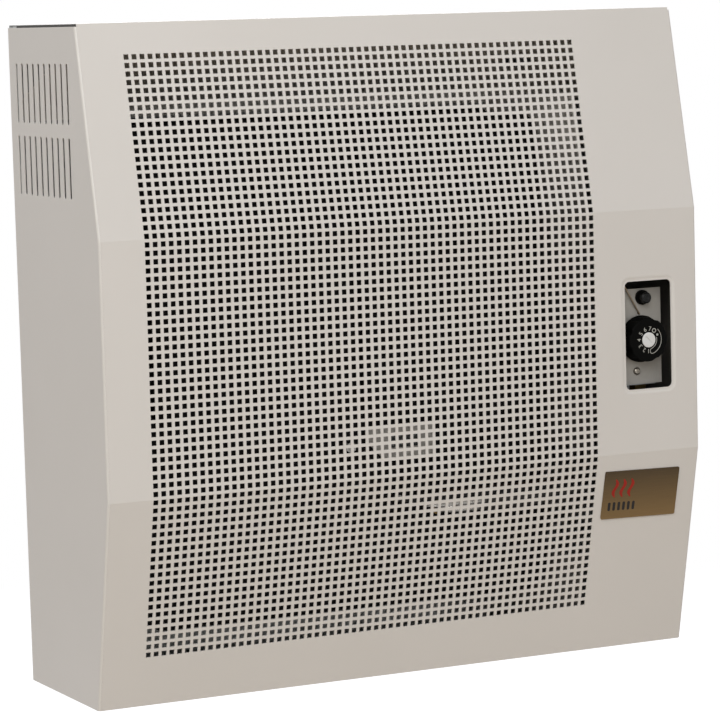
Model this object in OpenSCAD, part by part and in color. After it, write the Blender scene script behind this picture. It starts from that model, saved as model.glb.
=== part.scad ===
// Wall mounted gas heater with a sealed exchanger and a balanced flue.
//
// X runs along the wall, to the right of someone who faces the heater.
// Y points into the wall, and Y = 0 is the wall's face.
// Z points up from the lower edge of the casing. All sizes are millimetres.

/* [Casing] */
// Width of the casing
case_w = 640; // [624:1:720]
// Height of the casing
case_h = 643; // [633:1:700]
// Depth from the wall to the upright middle face of the front
case_d = 217; // [214:1:250]
// Height of the fold under the middle face
fold_low = 202; // [192:1:216]
// Height of the fold above the middle face
fold_high = 444; // [442:1:464]
// Slope of the faces above and below the middle one, in degrees
slope = 12; // [9:0.5:13]
// Thickness of the casing's sheet
sheet = 1; // [0.8:0.1:1.4]
// Outside radius of the bend between the front and a side
bend = 2.5; // [2:0.5:4]
// Width of the flanges that lap behind the front
lap = 14; // [10:1:20]
// Height of the dark gap between a side and the top
top_gap = 2.5; // [2:0.5:4]
// Height of the base tray above the lower edge
base_rise = 6; // [5:0.5:12]

/* [Front holes] */
// Distance from one hole to the next
hole_pitch = 24; // [20:4:32]
// Side of a square hole
hole_side = 15; // [8:0.5:18]
// Columns of holes
hole_cols = 20; // [10:1:20]
// Rows of holes in the lower, the middle and the upper face
hole_rows = [6, 10, 7];
// Centre of the hole field, to the right of the casing's centre
field_x = -36; // [-50:1:-20]

/* [Side slots] */
// Slots in one row
slot_count = 10; // [4:1:11]
// Rows of slots
slot_rows = 2; // [1:1:2]
// Distance from one slot to the next
slot_pitch = 14.7; // [12:0.1:15]
// Width of a slot
slot_w = 5; // [3:0.5:7]
// Height of a slot
slot_h = 57; // [40:1:60]
// Distance from one row of slots to the next
slot_row_pitch = 69; // [66:1:80]
// Height of the middle of the upper row, below the casing's top
slot_drop = 65; // [60:1:80]
// Distance from the wall to the first slot
slot_y = 19.5; // [15:0.5:25]

/* [Control opening] */
// Width of the opening
open_w = 53; // [50:1:56]
// Height of the opening
open_h = 108; // [104:1:116]
// Radius of the opening's corners
open_r = 5; // [3:0.5:8]
// Distance from the casing's right side to the opening's centre
open_in = 56.5; // [54:0.5:62]
// Height of the opening's centre
open_z = 319.4; // [315:0.1:325]
// Width of the pressed border round the opening
border_w = 5; // [3:0.5:7]
// Depth of the pressed border
border_depth = 1; // [0.8:0.1:1]

/* [Controls] */
// Width of the control plate
plate_w = 56; // [54:1:60]
// Height of the control plate
plate_h = 96; // [94:1:100]
// Thickness of the control plate
plate_t = 1.5; // [1:0.1:2]
// Distance from the front face back to the control plate
plate_depth = 22; // [22:0.5:24]
// Distance of the plate's middle to the left of the opening's centre
plate_left = 0.5; // [0:0.5:2]
// Distance of the plate's middle below the opening's centre
plate_drop = 3.4; // [2:0.1:5]
// Distance of the knob's axis to the right of the opening's centre
knob_right = 0.5; // [-1:0.5:2]
// Distance of the knob's axis below the opening's centre
knob_drop = 5.4; // [3:0.1:8]
// Diameter of the knob's face
knob_d = 44; // [40:1:46]
// Diameter of the knob's skirt
skirt_d = 47; // [44:1:48]
// How far the knob pushes in
knob_push = 4; // [3:0.5:4]
// Diameter of the spindle
spindle_d = 8; // [6:0.5:9]
// Diameter of the turning bush in the valve
bush_d = 16; // [14:0.5:17]
// Clearance of a running fit, on the radius
running = 0.05; // [0.02:0.01:0.09]
// Distance of the igniter's axis to the right of the opening's centre
igniter_right = 5.5; // [3:0.5:8]
// Distance of the igniter's axis above the opening's centre
igniter_rise = 35.6; // [34.6:0.1:36.6]
// Diameter of the igniter's button
button_d = 11.1; // [9:0.1:11.5]
// Diameter of the igniter's collar
collar_d = 14.8; // [14:0.1:16]
// How far the button pushes in
button_push = 7; // [4:0.5:7]
// How far the button stands out of the collar
button_out = 8; // [7.5:0.5:9]

/* [Exchanger] */
// Distance from the casing's left side to the exchanger
hx_left_gap = 58; // [54:1:80]
// Distance from the exchanger to the casing's right side
hx_right_gap = 140; // [136:1:160]
// Underside of the exchanger
hx_low = 64; // [50:1:72]
// Distance from the exchanger's top to the casing's top
hx_top_gap = 99; // [95:1:119]
// Distance from the front's middle face to the exchanger's front
hx_front_gap = 69; // [65:1:77]
// Distance from the wall to the exchanger's back
hx_back = 44; // [36:1:50]
// Thickness of the exchanger's walls
hx_wall = 2; // [1.5:0.1:2.5]
// Radius of the exchanger's corners
hx_round = 24; // [12:1:30]
// Width of the welded flange round the exchanger
hx_flange = 6; // [4:1:8]
// Pressed ribs on the exchanger's front
rib_count = 8; // [4:1:8]
// Height of a rib above the exchanger's front
rib_proud = 5; // [3:0.5:7]

/* [Flue] */
// Distance of the ducts' axis to the right of the exchanger's centre
duct_off = 0; // [-20:1:20]
// Distance from the exchanger's top down to the ducts' axis
duct_drop = 110; // [100:1:130]
// Bore of the flue collar
flue_bore = 80; // [60:1:84]
// Outside diameter of the air collar
air_d = 140; // [120:1:150]
// Wall of the two collars
collar_wall = 1.5; // [1:0.1:2]
// Side of the square flange that carries the air collar
flange_side = 190; // [180:1:200]

/* [Burner] */
// Diameter of the burner tube
burner_d = 44; // [36:1:46]
// Height of the burner's axis
burner_z = 157; // [153:0.5:159]
// Distance from the exchanger's left side to the burner
burner_in_left = 62; // [42:1:102]
// Distance from the burner to the exchanger's right side
burner_in_right = 140; // [136:1:150]
// Diameter of the pipe to the burner
pipe_d = 10; // [8:1:12]
// Distance of the pipe's entry to the right of the door's centre
pipe_right = 41; // [39:1:49]

/* [Wall fixings] */
// Distance from the casing's sides to the wall holes
fix_in = 35; // [30:1:40]
// Distance between the wall holes, up
fix_h = 400; // [380:1:410]
// Height of the lower wall holes
fix_low = 60; // [50:1:72]
// Diameter of a wall hole
fix_d = 9; // [7:0.5:10]
// Thickness of the back frame
back_t = 1.5; // [1.2:0.1:2]
// Depth of the back frame's flanges
back_flange = 20; // [15:1:25]

/* [Gas inlet] */
// Distance from the exchanger's front back to the inlet
inlet_back = 38; // [32:1:48]
// Outside diameter of the inlet's thread
inlet_thread = 20.955; // [16.66:0.005:21]
// Diameter of the inlet pipe
inlet_pipe_d = 15; // [12:1:16]

/* [Badge] */
// Width of the badge
badge_w = 86; // [70:1:90]
// Height of the badge
badge_h = 50; // [40:1:54]
// Thickness of the badge
badge_t = 1.2; // [0.8:0.1:2]
// Distance from the casing's right side to the badge's centre
badge_in = 65; // [58:0.5:70]
// Distance from the lower fold down to the badge's centre
badge_drop = 43; // [36:0.5:60]

/* [Hidden] */
$fn = 48;
seat = 0.3;       // gap between pieces that are only set beside each other
through = 1;      // how far a cutter runs past the wall that it cuts
cream = [0.84, 0.81, 0.77];
steel = [0.62, 0.62, 0.62];
black = [0.07, 0.07, 0.07];
brass = [0.78, 0.62, 0.3];
copper = [0.72, 0.45, 0.3];

fold_margin = 1;  // least distance from the hole field to a fold
mid_h = fold_high - fold_low;
field_w = hole_cols * hole_pitch;
plate_y = -(case_d - plate_depth);
plate_back = plate_y + plate_t;
open_x = case_w / 2 - open_in;
knob_x = open_x + knob_right;
knob_z = open_z - knob_drop;
igniter_x = open_x + igniter_right;
igniter_z = open_z + igniter_rise;
badge_x = case_w / 2 - badge_in;
fix_w = case_w - 2 * fix_in;
screw_r = 2;
head_r = 4;
head_h = 2.4;
screw_hole = screw_r + 0.1;

hx_left = -case_w / 2 + hx_left_gap;
hx_right = case_w / 2 - hx_right_gap;
hx_high = case_h - hx_top_gap;
hx_front = case_d - hx_front_gap;
hx_w = hx_right - hx_left;
hx_h = hx_high - hx_low;
hx_x = (hx_left + hx_right) / 2;
hx_z = (hx_low + hx_high) / 2;
duct_x = hx_x + duct_off;
duct_z = hx_high - duct_drop;
shield_x = hx_right + 20;
burner_y = (hx_front + hx_back) / 2;
burner_left = hx_left + burner_in_left;
burner_right = hx_right - burner_in_right;
inlet_y = hx_front - inlet_back;

// ---- Outline of the bowed front ----

// Depth from the wall of the front's outside at a height, drawn in by d
function bow_y(z, d) =
    z > fold_high ? -case_d + (d + (z - fold_high) * sin(slope)) / cos(slope)
    : z < fold_low ? -case_d + (d + (fold_low - z) * sin(slope)) / cos(slope)
    : -case_d + d;

// The four corners of the front's profile between two heights, drawn in by d
function bow(d, z0 = 0, z1 = case_h) = [
    [bow_y(z0, d), z0],
    [-case_d + d, fold_low + d * tan(slope / 2)],
    [-case_d + d, fold_high - d * tan(slope / 2)],
    [bow_y(z1, d), z1]
];

function backwards(list) = [for (i = [len(list) - 1:-1:0]) list[i]];

// ---- Helpers ----

// A profile drawn in Y and Z, run along X
module along_x(x0, x1) {
    translate([x0, 0, 0]) rotate([90, 0, 90]) linear_extrude(x1 - x0) children();
}

// A profile drawn in X and Z, run along Y
module along_y(y0, y1) {
    translate([0, y1, 0]) rotate([90, 0, 0]) linear_extrude(y1 - y0) children();
}

// A profile drawn in X and Y, run along Z
module along_z(z0, z1) {
    translate([0, 0, z0]) linear_extrude(z1 - z0) children();
}

// A disc or drum whose axis runs along Y
module drum(x, z, y0, y1, r) {
    translate([x, y1, z]) rotate([90, 0, 0]) cylinder(h = y1 - y0, r = r);
}

// A hexagon along Y, w across its flats
module hex_y(x, z, y0, y1, w) {
    along_y(y0, y1) translate([x, z]) circle(d = w / cos(30), $fn = 6);
}

// The plane of one face of the front: 0 lower, 1 middle, 2 upper.
// X runs across, Y up the face from a fold and Z out of it.
module face(i) {
    translate([0, -case_d, i == 2 ? fold_high : fold_low])
        rotate([90 + slope * (1 - i), 0, 0]) children();
}

module rounded(w, h, r) {
    square([w - 2 * r, h], center = true);
    square([w, h - 2 * r], center = true);
    for (x = [-1, 1], y = [-1, 1]) translate([x * (w / 2 - r), y * (h / 2 - r)]) circle(r = r);
}

// A slot with round ends, h long in all
module slot(w, h) {
    square([w, h - w], center = true);
    for (y = [-1, 1]) translate([0, y * (h - w) / 2]) circle(d = w);
}

// A pan head that rests on a face at the origin and stands out along +Z
module screw_head() {
    rotate_extrude() polygon([
        [0, 0], [head_r, 0], [head_r, head_h * 0.5], [head_r * 0.7, head_h], [0, head_h]
    ]);
}

module screw(length) {
    translate([0, 0, -length]) cylinder(h = length + head_h / 2, r = screw_r);
    screw_head();
}

// ---- Pipes: straight runs joined by round bends ----

function unit(v) = v / norm(v);

// How much a bend of radius r shortens the runs at a corner
function corner_cut(a, b, c, r) =
    r * tan(acos(min(1, max(-1, unit(b - a) * unit(c - b)))) / 2);

module run(a, b, r) {
    v = b - a;
    translate(a) rotate([0, acos(v.z / norm(v)), atan2(v.y, v.x)]) cylinder(h = norm(v), r = r);
}

module elbow(a, b, c, r, bend_r) {
    u = unit(b - a);
    v = unit(c - b);
    turn = acos(u * v);
    side = unit(v - (u * v) * u);
    centre = b - u * corner_cut(a, b, c, bend_r) + side * bend_r;
    axis = cross(-side, u);
    multmatrix([
        [-side.x, u.x, axis.x, centre.x],
        [-side.y, u.y, axis.y, centre.y],
        [-side.z, u.z, axis.z, centre.z],
        [0, 0, 0, 1]
    ]) rotate_extrude(angle = turn) translate([bend_r, 0]) circle(r = r);
}

// A thin line that turns sharply, with a round knuckle at each turn
module thin_line(p, r) {
    for (i = [0:len(p) - 2]) run(p[i], p[i + 1], r);
    for (i = [1:len(p) - 2]) translate(p[i]) sphere(r = r * 1.15);
}

module pipe(p, r, bend_r) {
    last = len(p) - 1;
    for (i = [0:last - 1]) {
        dir = unit(p[i + 1] - p[i]);
        a = i == 0 ? p[0] : p[i] + dir * corner_cut(p[i - 1], p[i], p[i + 1], bend_r);
        b = i == last - 1 ? p[last]
            : p[i + 1] - dir * corner_cut(p[i], p[i + 1], p[i + 2], bend_r);
        run(a, b, r);
    }
    for (i = [1:last - 1]) elbow(p[i - 1], p[i], p[i + 1], r, bend_r);
}

// ---- Casing ----

// Where the hole field starts on a face, measured up from that face's fold
function field_start(i) =
    i == 0 ? -hole_rows[0] * hole_pitch - fold_margin
    : i == 1 ? (mid_h - hole_rows[1] * hole_pitch) / 2
    : fold_margin;

module hole_grid(rows) {
    margin = (hole_pitch - hole_side) / 2;
    for (i = [0:hole_cols - 1], j = [0:rows - 1])
        translate([i * hole_pitch + margin, j * hole_pitch + margin]) square(hole_side);
}

module opening_outline(grow) {
    translate([open_x, open_z - fold_low])
        rounded(open_w + 2 * grow, open_h + 2 * grow, open_r + grow);
}

module front_panel() {
    color(cream) {
        difference() {
            along_x(-case_w / 2 + bend, case_w / 2 - bend)
                polygon(concat(bow(0), backwards(bow(sheet))));
            for (i = [0:2])
                face(i) translate([field_x - field_w / 2, field_start(i), -sheet - through])
                    linear_extrude(sheet + 2 * through) hole_grid(hole_rows[i]);
            face(1) translate([0, 0, -sheet - through])
                linear_extrude(sheet + 2 * through) opening_outline(border_w);
        }
        // pressed border: the sheet steps back round the opening
        face(1) translate([0, 0, -sheet - border_depth]) {
            linear_extrude(sheet) difference() {
                opening_outline(border_w + sheet);
                opening_outline(0);
            }
            linear_extrude(sheet + border_depth) difference() {
                opening_outline(border_w + sheet);
                opening_outline(border_w);
            }
        }
        // flanges folded back at the top and the bottom
        front_flange(case_h - 2 * sheet);
        front_flange(base_rise);
    }
}

module front_flange(z) {
    half = case_w / 2 - bend - lap - seat;
    difference() {
        along_x(-half, half)
            polygon([
                [bow_y(z, sheet / 2), z], [bow_y(z + sheet, sheet / 2), z + sheet],
                [bow_y(z, sheet) + lap, z + sheet], [bow_y(z, sheet) + lap, z]
            ]);
        if (z < fold_low) for (x = screw_places()) translate([x, screw_line(z), z - through])
            cylinder(h = sheet + 2 * through, r = screw_hole);
    }
}

screw_in = 40;      // from the casing's sides to the outer screws
function screw_places() = [-case_w / 2 + screw_in, -case_w / 6, case_w / 6, case_w / 2 - screw_in];
function screw_line(z) = bow_y(z, sheet) + lap / 2;

// Section of a side's bent edge, across and out: a leg that lies in the wall, the bend, and
// the flange behind the front
module edge_section() {
    leg = 2;
    translate([case_w / 2 - bend, -bend]) intersection() {
        difference() {
            circle(r = bend);
            circle(r = bend - sheet);
        }
        translate([0, -leg]) square([bend, bend + leg]);
    }
    translate([case_w / 2 - sheet, -bend - leg]) square([sheet, leg]);
    translate([case_w / 2 - bend - lap, -2 * sheet]) square([lap + bend - sheet / 2, sheet]);
}

// The bent edge of one side: a strip along each face of the front. The strips run a little
// past the folds, where they are welded to each other.
module side_edge(top) {
    weld = 0.3;
    difference() {
        for (i = [0:2]) face(i)
            along_y(i == 0 ? -fold_low / cos(slope) - sheet : -weld,
                i == 0 ? weld : i == 1 ? mid_h + weld : (top - fold_high) / cos(slope) + sheet)
                    edge_section();
        translate([0, -case_d - through, -case_h]) cube([case_w, case_d, case_h]);
        translate([0, -case_d - through, top]) cube([case_w, case_d, case_h]);
    }
}

module side_panel() {
    top = case_h - top_gap;
    side_edge(top);
    difference() {
        along_x(case_w / 2 - sheet, case_w / 2)
            polygon(concat([[0, 0]], bow(bend, 0, top), [[0, top]]));
        slots();
    }
}

module slots() {
    for (row = [0:slot_rows - 1]) along_x(case_w / 2 - sheet - through, case_w / 2 + through)
        for (i = [0:slot_count - 1])
            translate([-slot_y - i * slot_pitch, case_h - slot_drop - row * slot_row_pitch])
                slot(slot_w, slot_h);
}

module side_panel_right() {
    color(cream) side_panel();
}

module side_panel_left() {
    color(cream) mirror([1, 0, 0]) side_panel();
}

module top_panel() {
    half = case_w / 2 - 1.5 * sheet;
    color(cream) translate([-half, bow_y(case_h, sheet) + seat, case_h - sheet])
        cube([2 * half, -bow_y(case_h, sheet) - seat, sheet]);
}

module base_tray() {
    z = base_rise + sheet;
    front = bow_y(z, sheet) + seat;
    back = -back_t - seat;
    half = case_w / 2 - sheet - back_t - 2 * seat;
    cols = 8;
    rows = 4;
    air_slot = [8, 44];
    first = [50, 30];
    pitch = [58, 34];
    color(steel) difference() {
        translate([-half, front, z]) cube([2 * half, back - front, sheet]);
        for (i = [0:cols - 1], j = [0:rows - 1])
            translate([-half + first.x + i * pitch.x, -first.y - j * pitch.y, z - through])
                linear_extrude(sheet + 2 * through) rotate(90) slot(air_slot.x, air_slot.y);
        translate([inlet_x, -inlet_y, z - through]) cylinder(h = sheet + 2 * through, r = 20);
        for (x = screw_places()) translate([x, screw_line(base_rise), z - through])
            cylinder(h = sheet + 2 * through, r = screw_hole);
    }
}

module back_frame() {
    half = case_w / 2 - sheet - seat;
    high = case_h - sheet;
    color(steel) difference() {
        union() {
            translate([-half, -back_t, 0]) cube([2 * half, back_t, high]);
            for (z = [base_rise - back_t + sheet, high - sheet])
                translate([-half, -back_flange, z]) cube([2 * half, back_flange, z > 100 ? sheet : back_t]);
            for (x = [-half, half - back_t])
                translate([x, -back_flange, base_rise]) cube([back_t, back_flange, high - base_rise]);
        }
        drum(duct_x, duct_z, -back_t - through, through, air_d / 2 + 8);
        for (x = [-1, 1], z = [0, 1])
            drum(x * fix_w / 2, fix_low + z * fix_h, -back_t - through, through, fix_d / 2);
    }
}

module badge() {
    color(brass) face(0) translate([badge_x, -badge_drop, 0])
        linear_extrude(badge_t) rounded(badge_w, badge_h, 1);
}

module casing_screws() {
    color(steel) for (x = screw_places())
        translate([x, screw_line(base_rise), base_rise]) rotate([180, 0, 0]) screw(4);
}

// ---- Controls ----

module control_plate() {
    color(steel) difference() {
        along_y(plate_y, plate_back) translate([open_x - plate_left, open_z - plate_drop])
            square([plate_w, plate_h], center = true);
        drum(knob_x, knob_z, plate_y - through, plate_back + through, bonnet_r() + seat);
        drum(igniter_x, igniter_z, plate_y - through, plate_back + through, barrel_r() + seat);
        drum(screw_x(), screw_z(), plate_y - through, plate_back + through, screw_hole);
    }
}

function bonnet_r() = bush_d / 2 + 1.7;
function barrel_r() = collar_d / 2 - 0.5;
function screw_x() = knob_x - 2;
function screw_z() = knob_z - 33;

module plate_screw() {
    color(steel) translate([screw_x(), plate_y, screw_z()]) rotate([90, 0, 0]) screw(8);
}

// Ends of the knob's parts, measured back from the front face of the casing
bonnet_out = 2.5;
knob_face_y = -case_d + 1;
hub_back_y = plate_y - bonnet_out - knob_push - seat;
skirt_back_y = plate_y - knob_push - 0.8;
spindle_front_y = knob_face_y + 3;
spindle_back_y = plate_back + 12;
bush_back_y = spindle_back_y + knob_push + 2;

module flatted(r, flat) {
    intersection() {
        circle(r = r);
        translate([-r, -r]) square([2 * r, r + flat]);
    }
}

module control_knob() {
    high = skirt_back_y - knob_face_y;
    flutes = 8;
    color(black) translate([knob_x, skirt_back_y, knob_z]) rotate([90, 0, 0]) difference() {
        rotate_extrude() polygon([
            [0, 0], [skirt_d / 2, 0], [skirt_d / 2, 2.5], [knob_d / 2 + 0.4, 4],
            [knob_d / 2, high - 2], [knob_d / 2 - 0.6, high - 0.6], [knob_d / 2 - 2, high], [0, high]
        ]);
        // flutes that the fingers grip
        for (i = [0:flutes - 1]) rotate(i * 360 / flutes + 22.5)
            translate([knob_d / 2 + 6.5, 0, 4]) cylinder(h = high, r = 8);
        // hollow behind the face, round the hub
        difference() {
            translate([0, 0, -through]) cylinder(h = high - 3 + through, r = knob_d / 2 - 4);
            translate([0, 0, -2 * through]) cylinder(h = high, r = spindle_d / 2 + 2.5);
        }
        translate([0, 0, -through]) cylinder(h = skirt_back_y - hub_back_y + through, r = knob_d / 2 - 4);
        // flatted hole for the spindle
        translate([0, 0, -through]) linear_extrude(skirt_back_y - spindle_front_y + through + seat)
            flatted(spindle_d / 2 + running, spindle_d / 4 + running);
        // seat of the pale cap
        translate([0, 0, high - 0.8]) cylinder(h = 2, r = 7.5 + running);
    }
}

module knob_cap() {
    color([0.8, 0.8, 0.78]) difference() {
        drum(knob_x, knob_z, knob_face_y - 0.6, knob_face_y + 0.8, 7.5);
        translate([knob_x, knob_face_y - 0.6, knob_z]) rotate([0, 45, 0])
            cube([10, 1, 1.2], center = true);
    }
}

module valve_spindle() {
    color(steel) translate([knob_x, spindle_back_y, knob_z]) rotate([90, 0, 0])
        linear_extrude(spindle_back_y - spindle_front_y) flatted(spindle_d / 2, spindle_d / 4);
}

module valve_bush() {
    color(brass) translate([knob_x, bush_back_y, knob_z]) rotate([90, 0, 0])
        linear_extrude(bush_back_y - (plate_y - bonnet_out)) difference() {
            circle(d = bush_d);
            flatted(spindle_d / 2 + running, spindle_d / 4 + running);
        }
}

// The valve's body stands behind the plate, with its ports underneath
valve_w = 50;
valve_deep = 58;
valve_foot = 14;    // from the plate's screw down to the valve's underside
valve_head = 3;     // from the igniter's collar down to the valve's top
port_h = 10;
port_in = 28;       // from the plate back to the gas ports
port_side = 13;     // from the valve's middle to a gas port
thin_in = 13;       // from the plate back to the ports of the thin lines
pilot_side = 5;
couple_side = 19;
valve_low = screw_z() - valve_foot;
valve_high = igniter_z - collar_d / 2 - valve_head;
valve_x = knob_x - 1;
valve_back = plate_back + valve_deep;
port_y = plate_y + port_in;
outlet_x = valve_x - port_side;
inlet_x = valve_x + port_side;
pilot_x = valve_x - pilot_side;
couple_x = valve_x - couple_side;
thin_y = plate_y + thin_in;

module gas_valve() {
    color([0.72, 0.72, 0.7]) difference() {
        union() {
            along_y(plate_back, valve_back) translate([valve_x, (valve_low + valve_high) / 2])
                rounded(valve_w, valve_high - valve_low, 5);
            drum(knob_x, knob_z, plate_y - bonnet_out, plate_back + through, bonnet_r());
            // diaphragm housing on the right
            translate([valve_x + valve_w / 2 - 1, (plate_back + valve_back) / 2, knob_z])
                rotate([0, 90, 0]) {
                    cylinder(h = 4, r = 26);
                    cylinder(h = 8, r = 20);
                }
            for (x = [outlet_x, inlet_x]) translate([x, port_y, valve_low - port_h])
                cylinder(h = port_h + 1, r = 9);
            for (x = [pilot_x, couple_x]) translate([x, thin_y, valve_low - port_h / 2])
                cylinder(h = port_h / 2 + 1, r = 3);
        }
        drum(knob_x, knob_z, plate_y - bonnet_out - through, bush_back_y + 0.5, bush_d / 2 + running);
        drum(screw_x(), screw_z(), plate_back - through, plate_y + 12, screw_r + running);
        // cored recesses between the ribs at the back
        for (x = [-1, 1], z = [-1, 1])
            along_y(valve_back - 6, valve_back + through)
                translate([valve_x + x * 11, knob_z - 6 + z * 16]) rounded(16, 22, 3);
    }
}

module valve_bracket() {
    low = valve_low + 12;
    high = valve_high - 8;
    web = 1.5;
    color(steel) along_z(low, high) polygon([
        [valve_x - valve_w / 2, valve_back], [valve_x + valve_w / 2, valve_back],
        [valve_x + valve_w / 2, -back_t - web], [valve_x + valve_w / 2 + 14, -back_t - web],
        [valve_x + valve_w / 2 + 14, -back_t], [valve_x + valve_w / 2 - web, -back_t],
        [valve_x + valve_w / 2 - web, valve_back + web], [valve_x - valve_w / 2 + web, valve_back + web],
        [valve_x - valve_w / 2 + web, -back_t], [valve_x - valve_w / 2 - 14, -back_t],
        [valve_x - valve_w / 2 - 14, -back_t - web], [valve_x - valve_w / 2, -back_t - web]
    ]);
}

collar_out = 3;
button_front_y = plate_y - collar_out - button_out;
button_back_y = button_front_y + 18;
igniter_back_y = plate_y + 43;
nut_t = 4;

module igniter_body() {
    color(black) difference() {
        union() {
            drum(igniter_x, igniter_z, plate_y - collar_out, plate_y, collar_d / 2);
            drum(igniter_x, igniter_z, plate_y - through, igniter_back_y, barrel_r());
        }
        drum(igniter_x, igniter_z, plate_y - collar_out - through, button_back_y + button_push + 1,
            button_d / 2 + running);
    }
}

module igniter_button() {
    color(black) translate([igniter_x, button_back_y, igniter_z]) rotate([90, 0, 0])
        rotate_extrude() polygon([
            [0, 0], [button_d / 2, 0], [button_d / 2, 16.8], [button_d / 2 - 1.2, 18],
            [button_d / 2 - 3, 18], [button_d / 2 - 3.6, 17.4], [0, 17.4]
        ]);
}

module igniter_nut() {
    color(steel) difference() {
        hex_y(igniter_x, igniter_z, plate_back, plate_back + nut_t, 17);
        drum(igniter_x, igniter_z, plate_back - through, plate_back + nut_t + through,
            barrel_r() + running);
    }
}

// ---- Exchanger ----

module hx_outline(grow) {
    translate([hx_x, hx_z]) rounded(hx_w + 2 * grow, hx_h + 2 * grow, hx_round + grow);
}

door_w = 180;
door_h = 98;
door_x = hx_right - door_w / 2 - 75;
door_z = burner_z - 12;
door_rim = 13;      // how far the door laps over the exchanger's hole
door_t = 2;
gasket_t = 1.5;
sight_x = door_x + 5;
sight_z = burner_z + 67.5;
glass_w = 60;
glass_h = 24;
glass_t = 3;
rib_low = sight_z + 40;
rib_high = hx_high - 30;

// A deep-drawn pan with its open side to the wall, closed by the welded back plate
module heat_exchanger() {
    back = -hx_back - hx_wall;
    color(black) difference() {
        union() {
            along_y(-hx_front, back) hx_outline(0);
            along_y(back - hx_wall, back) hx_outline(hx_flange);
            // pressed ribs
            for (i = [0:rib_count - 1])
                along_y(-hx_front - rib_proud, -hx_front + 1)
                    translate([hx_left + (i + 0.5) * hx_w / rib_count, (rib_low + rib_high) / 2])
                        slot(20, rib_high - rib_low);
        }
        along_y(-hx_front + hx_wall, back + through) hx_outline(-hx_wall);
        along_y(-hx_front - through, -hx_front + hx_wall + through) {
            translate([door_x, door_z])
                rounded(door_w - 2 * door_rim, door_h - 2 * door_rim, 6);
            translate([sight_x, sight_z]) rounded(glass_w - 10, glass_h - 10, 3);
        }
    }
}

module exchanger_back() {
    color(black) along_y(-hx_back - hx_wall, -hx_back) difference() {
        hx_outline(hx_flange);
        translate([duct_x, duct_z]) circle(r = air_d / 2 - collar_wall - seat);
    }
}

bracket_t = 2;
bracket_wide = 30;
bracket_foot = 18;  // length of a bracket's foot on the back frame
bracket_ear = 16;   // length of its ear on the exchanger
bracket_in_left = 40;
bracket_in_right = 60;
bracket_in_z = 45;

module exchanger_brackets() {
    t = bracket_t;
    color(steel) for (x = bracket_xs(), z = bracket_zs())
        along_z(z - bracket_wide / 2, z + bracket_wide / 2) polygon([
            [x - bracket_ear, -hx_back], [x + t, -hx_back], [x + t, -back_t - t],
            [x + bracket_foot, -back_t - t], [x + bracket_foot, -back_t], [x, -back_t],
            [x, -hx_back + t], [x - bracket_ear, -hx_back + t]
        ]);
}

function bracket_xs() = [hx_left + bracket_in_left, hx_right - bracket_in_right];
function bracket_zs() = [hx_low + bracket_in_z, hx_high - bracket_in_z];

module bracket_screws() {
    x_on_foot = bracket_t + (bracket_foot - bracket_t) / 2 + 1;
    color(steel) for (x = bracket_xs(), z = bracket_zs(), side = [-1, 1])
        translate([x + x_on_foot, -back_t - bracket_t, z + side * bracket_wide * 0.3])
            rotate([90, 0, 0]) screw_head();
}

channel_w = 170;
channel_gap = 6;    // from the channel to the burner
channel_deep = burner_y - burner_d / 2 - channel_gap - hx_back - hx_wall;

module air_channel() {
    back = -hx_back - hx_wall;
    low = burner_z - 40;
    high = duct_z + air_d / 2 + 16;
    t = 1.5;
    color(steel) difference() {
        along_y(back - channel_deep, back)
            translate([duct_x - channel_w / 2, low]) square([channel_w, high - low]);
        along_y(back - channel_deep + t, back + through)
            translate([duct_x - channel_w / 2 + t, low - through])
                square([channel_w - 2 * t, high - low - t + through]);
        drum(duct_x, duct_z, back - channel_deep - through, back + through,
            flue_bore / 2 + collar_wall + seat);
    }
}

flange_t = 2;
duct_gasket_t = 2;
bolt_off = flange_side / 2 - 12;

module duct_gasket() {
    color(black) along_y(-hx_back, -hx_back + duct_gasket_t) translate([duct_x, duct_z])
        difference() {
            rounded(flange_side - 4, flange_side - 4, 10);
            circle(d = air_d - 2 * collar_wall);
            for (x = [-1, 1], z = [-1, 1]) translate([x * bolt_off, z * bolt_off])
                circle(r = screw_r + seat);
        }
}

flange_y = -hx_back + duct_gasket_t;

// Square plate that clamps the gasket, with the air collar welded onto it
module duct_flange() {
    color(steel) along_y(flange_y, flange_y + flange_t) translate([duct_x, duct_z])
        difference() {
            rounded(flange_side, flange_side, 12);
            circle(r = air_d / 2 - collar_wall);
            for (x = [-1, 1], z = [-1, 1]) translate([x * bolt_off, z * bolt_off])
                circle(r = screw_hole);
        }
}

module air_collar() {
    color(steel) difference() {
        drum(duct_x, duct_z, flange_y + flange_t, 0, air_d / 2);
        drum(duct_x, duct_z, flange_y, through, air_d / 2 - collar_wall);
    }
}

module duct_bolts() {
    color(steel) for (x = [-1, 1], z = [-1, 1])
        translate([duct_x + x * bolt_off, flange_y + flange_t, duct_z + z * bolt_off]) rotate([-90, 0, 0])
            screw(duct_gasket_t + flange_t);
}

module flue_collar() {
    inside = -hx_back - hx_wall - channel_deep;
    color(steel) difference() {
        drum(duct_x, duct_z, inside - 8, 0, flue_bore / 2 + collar_wall);
        drum(duct_x, duct_z, inside - 8 - through, through, flue_bore / 2);
    }
}

sight_rim = 7;
sight_ear = 33;
sight_ear_t = 2;
sight_nut_t = 5;

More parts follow.
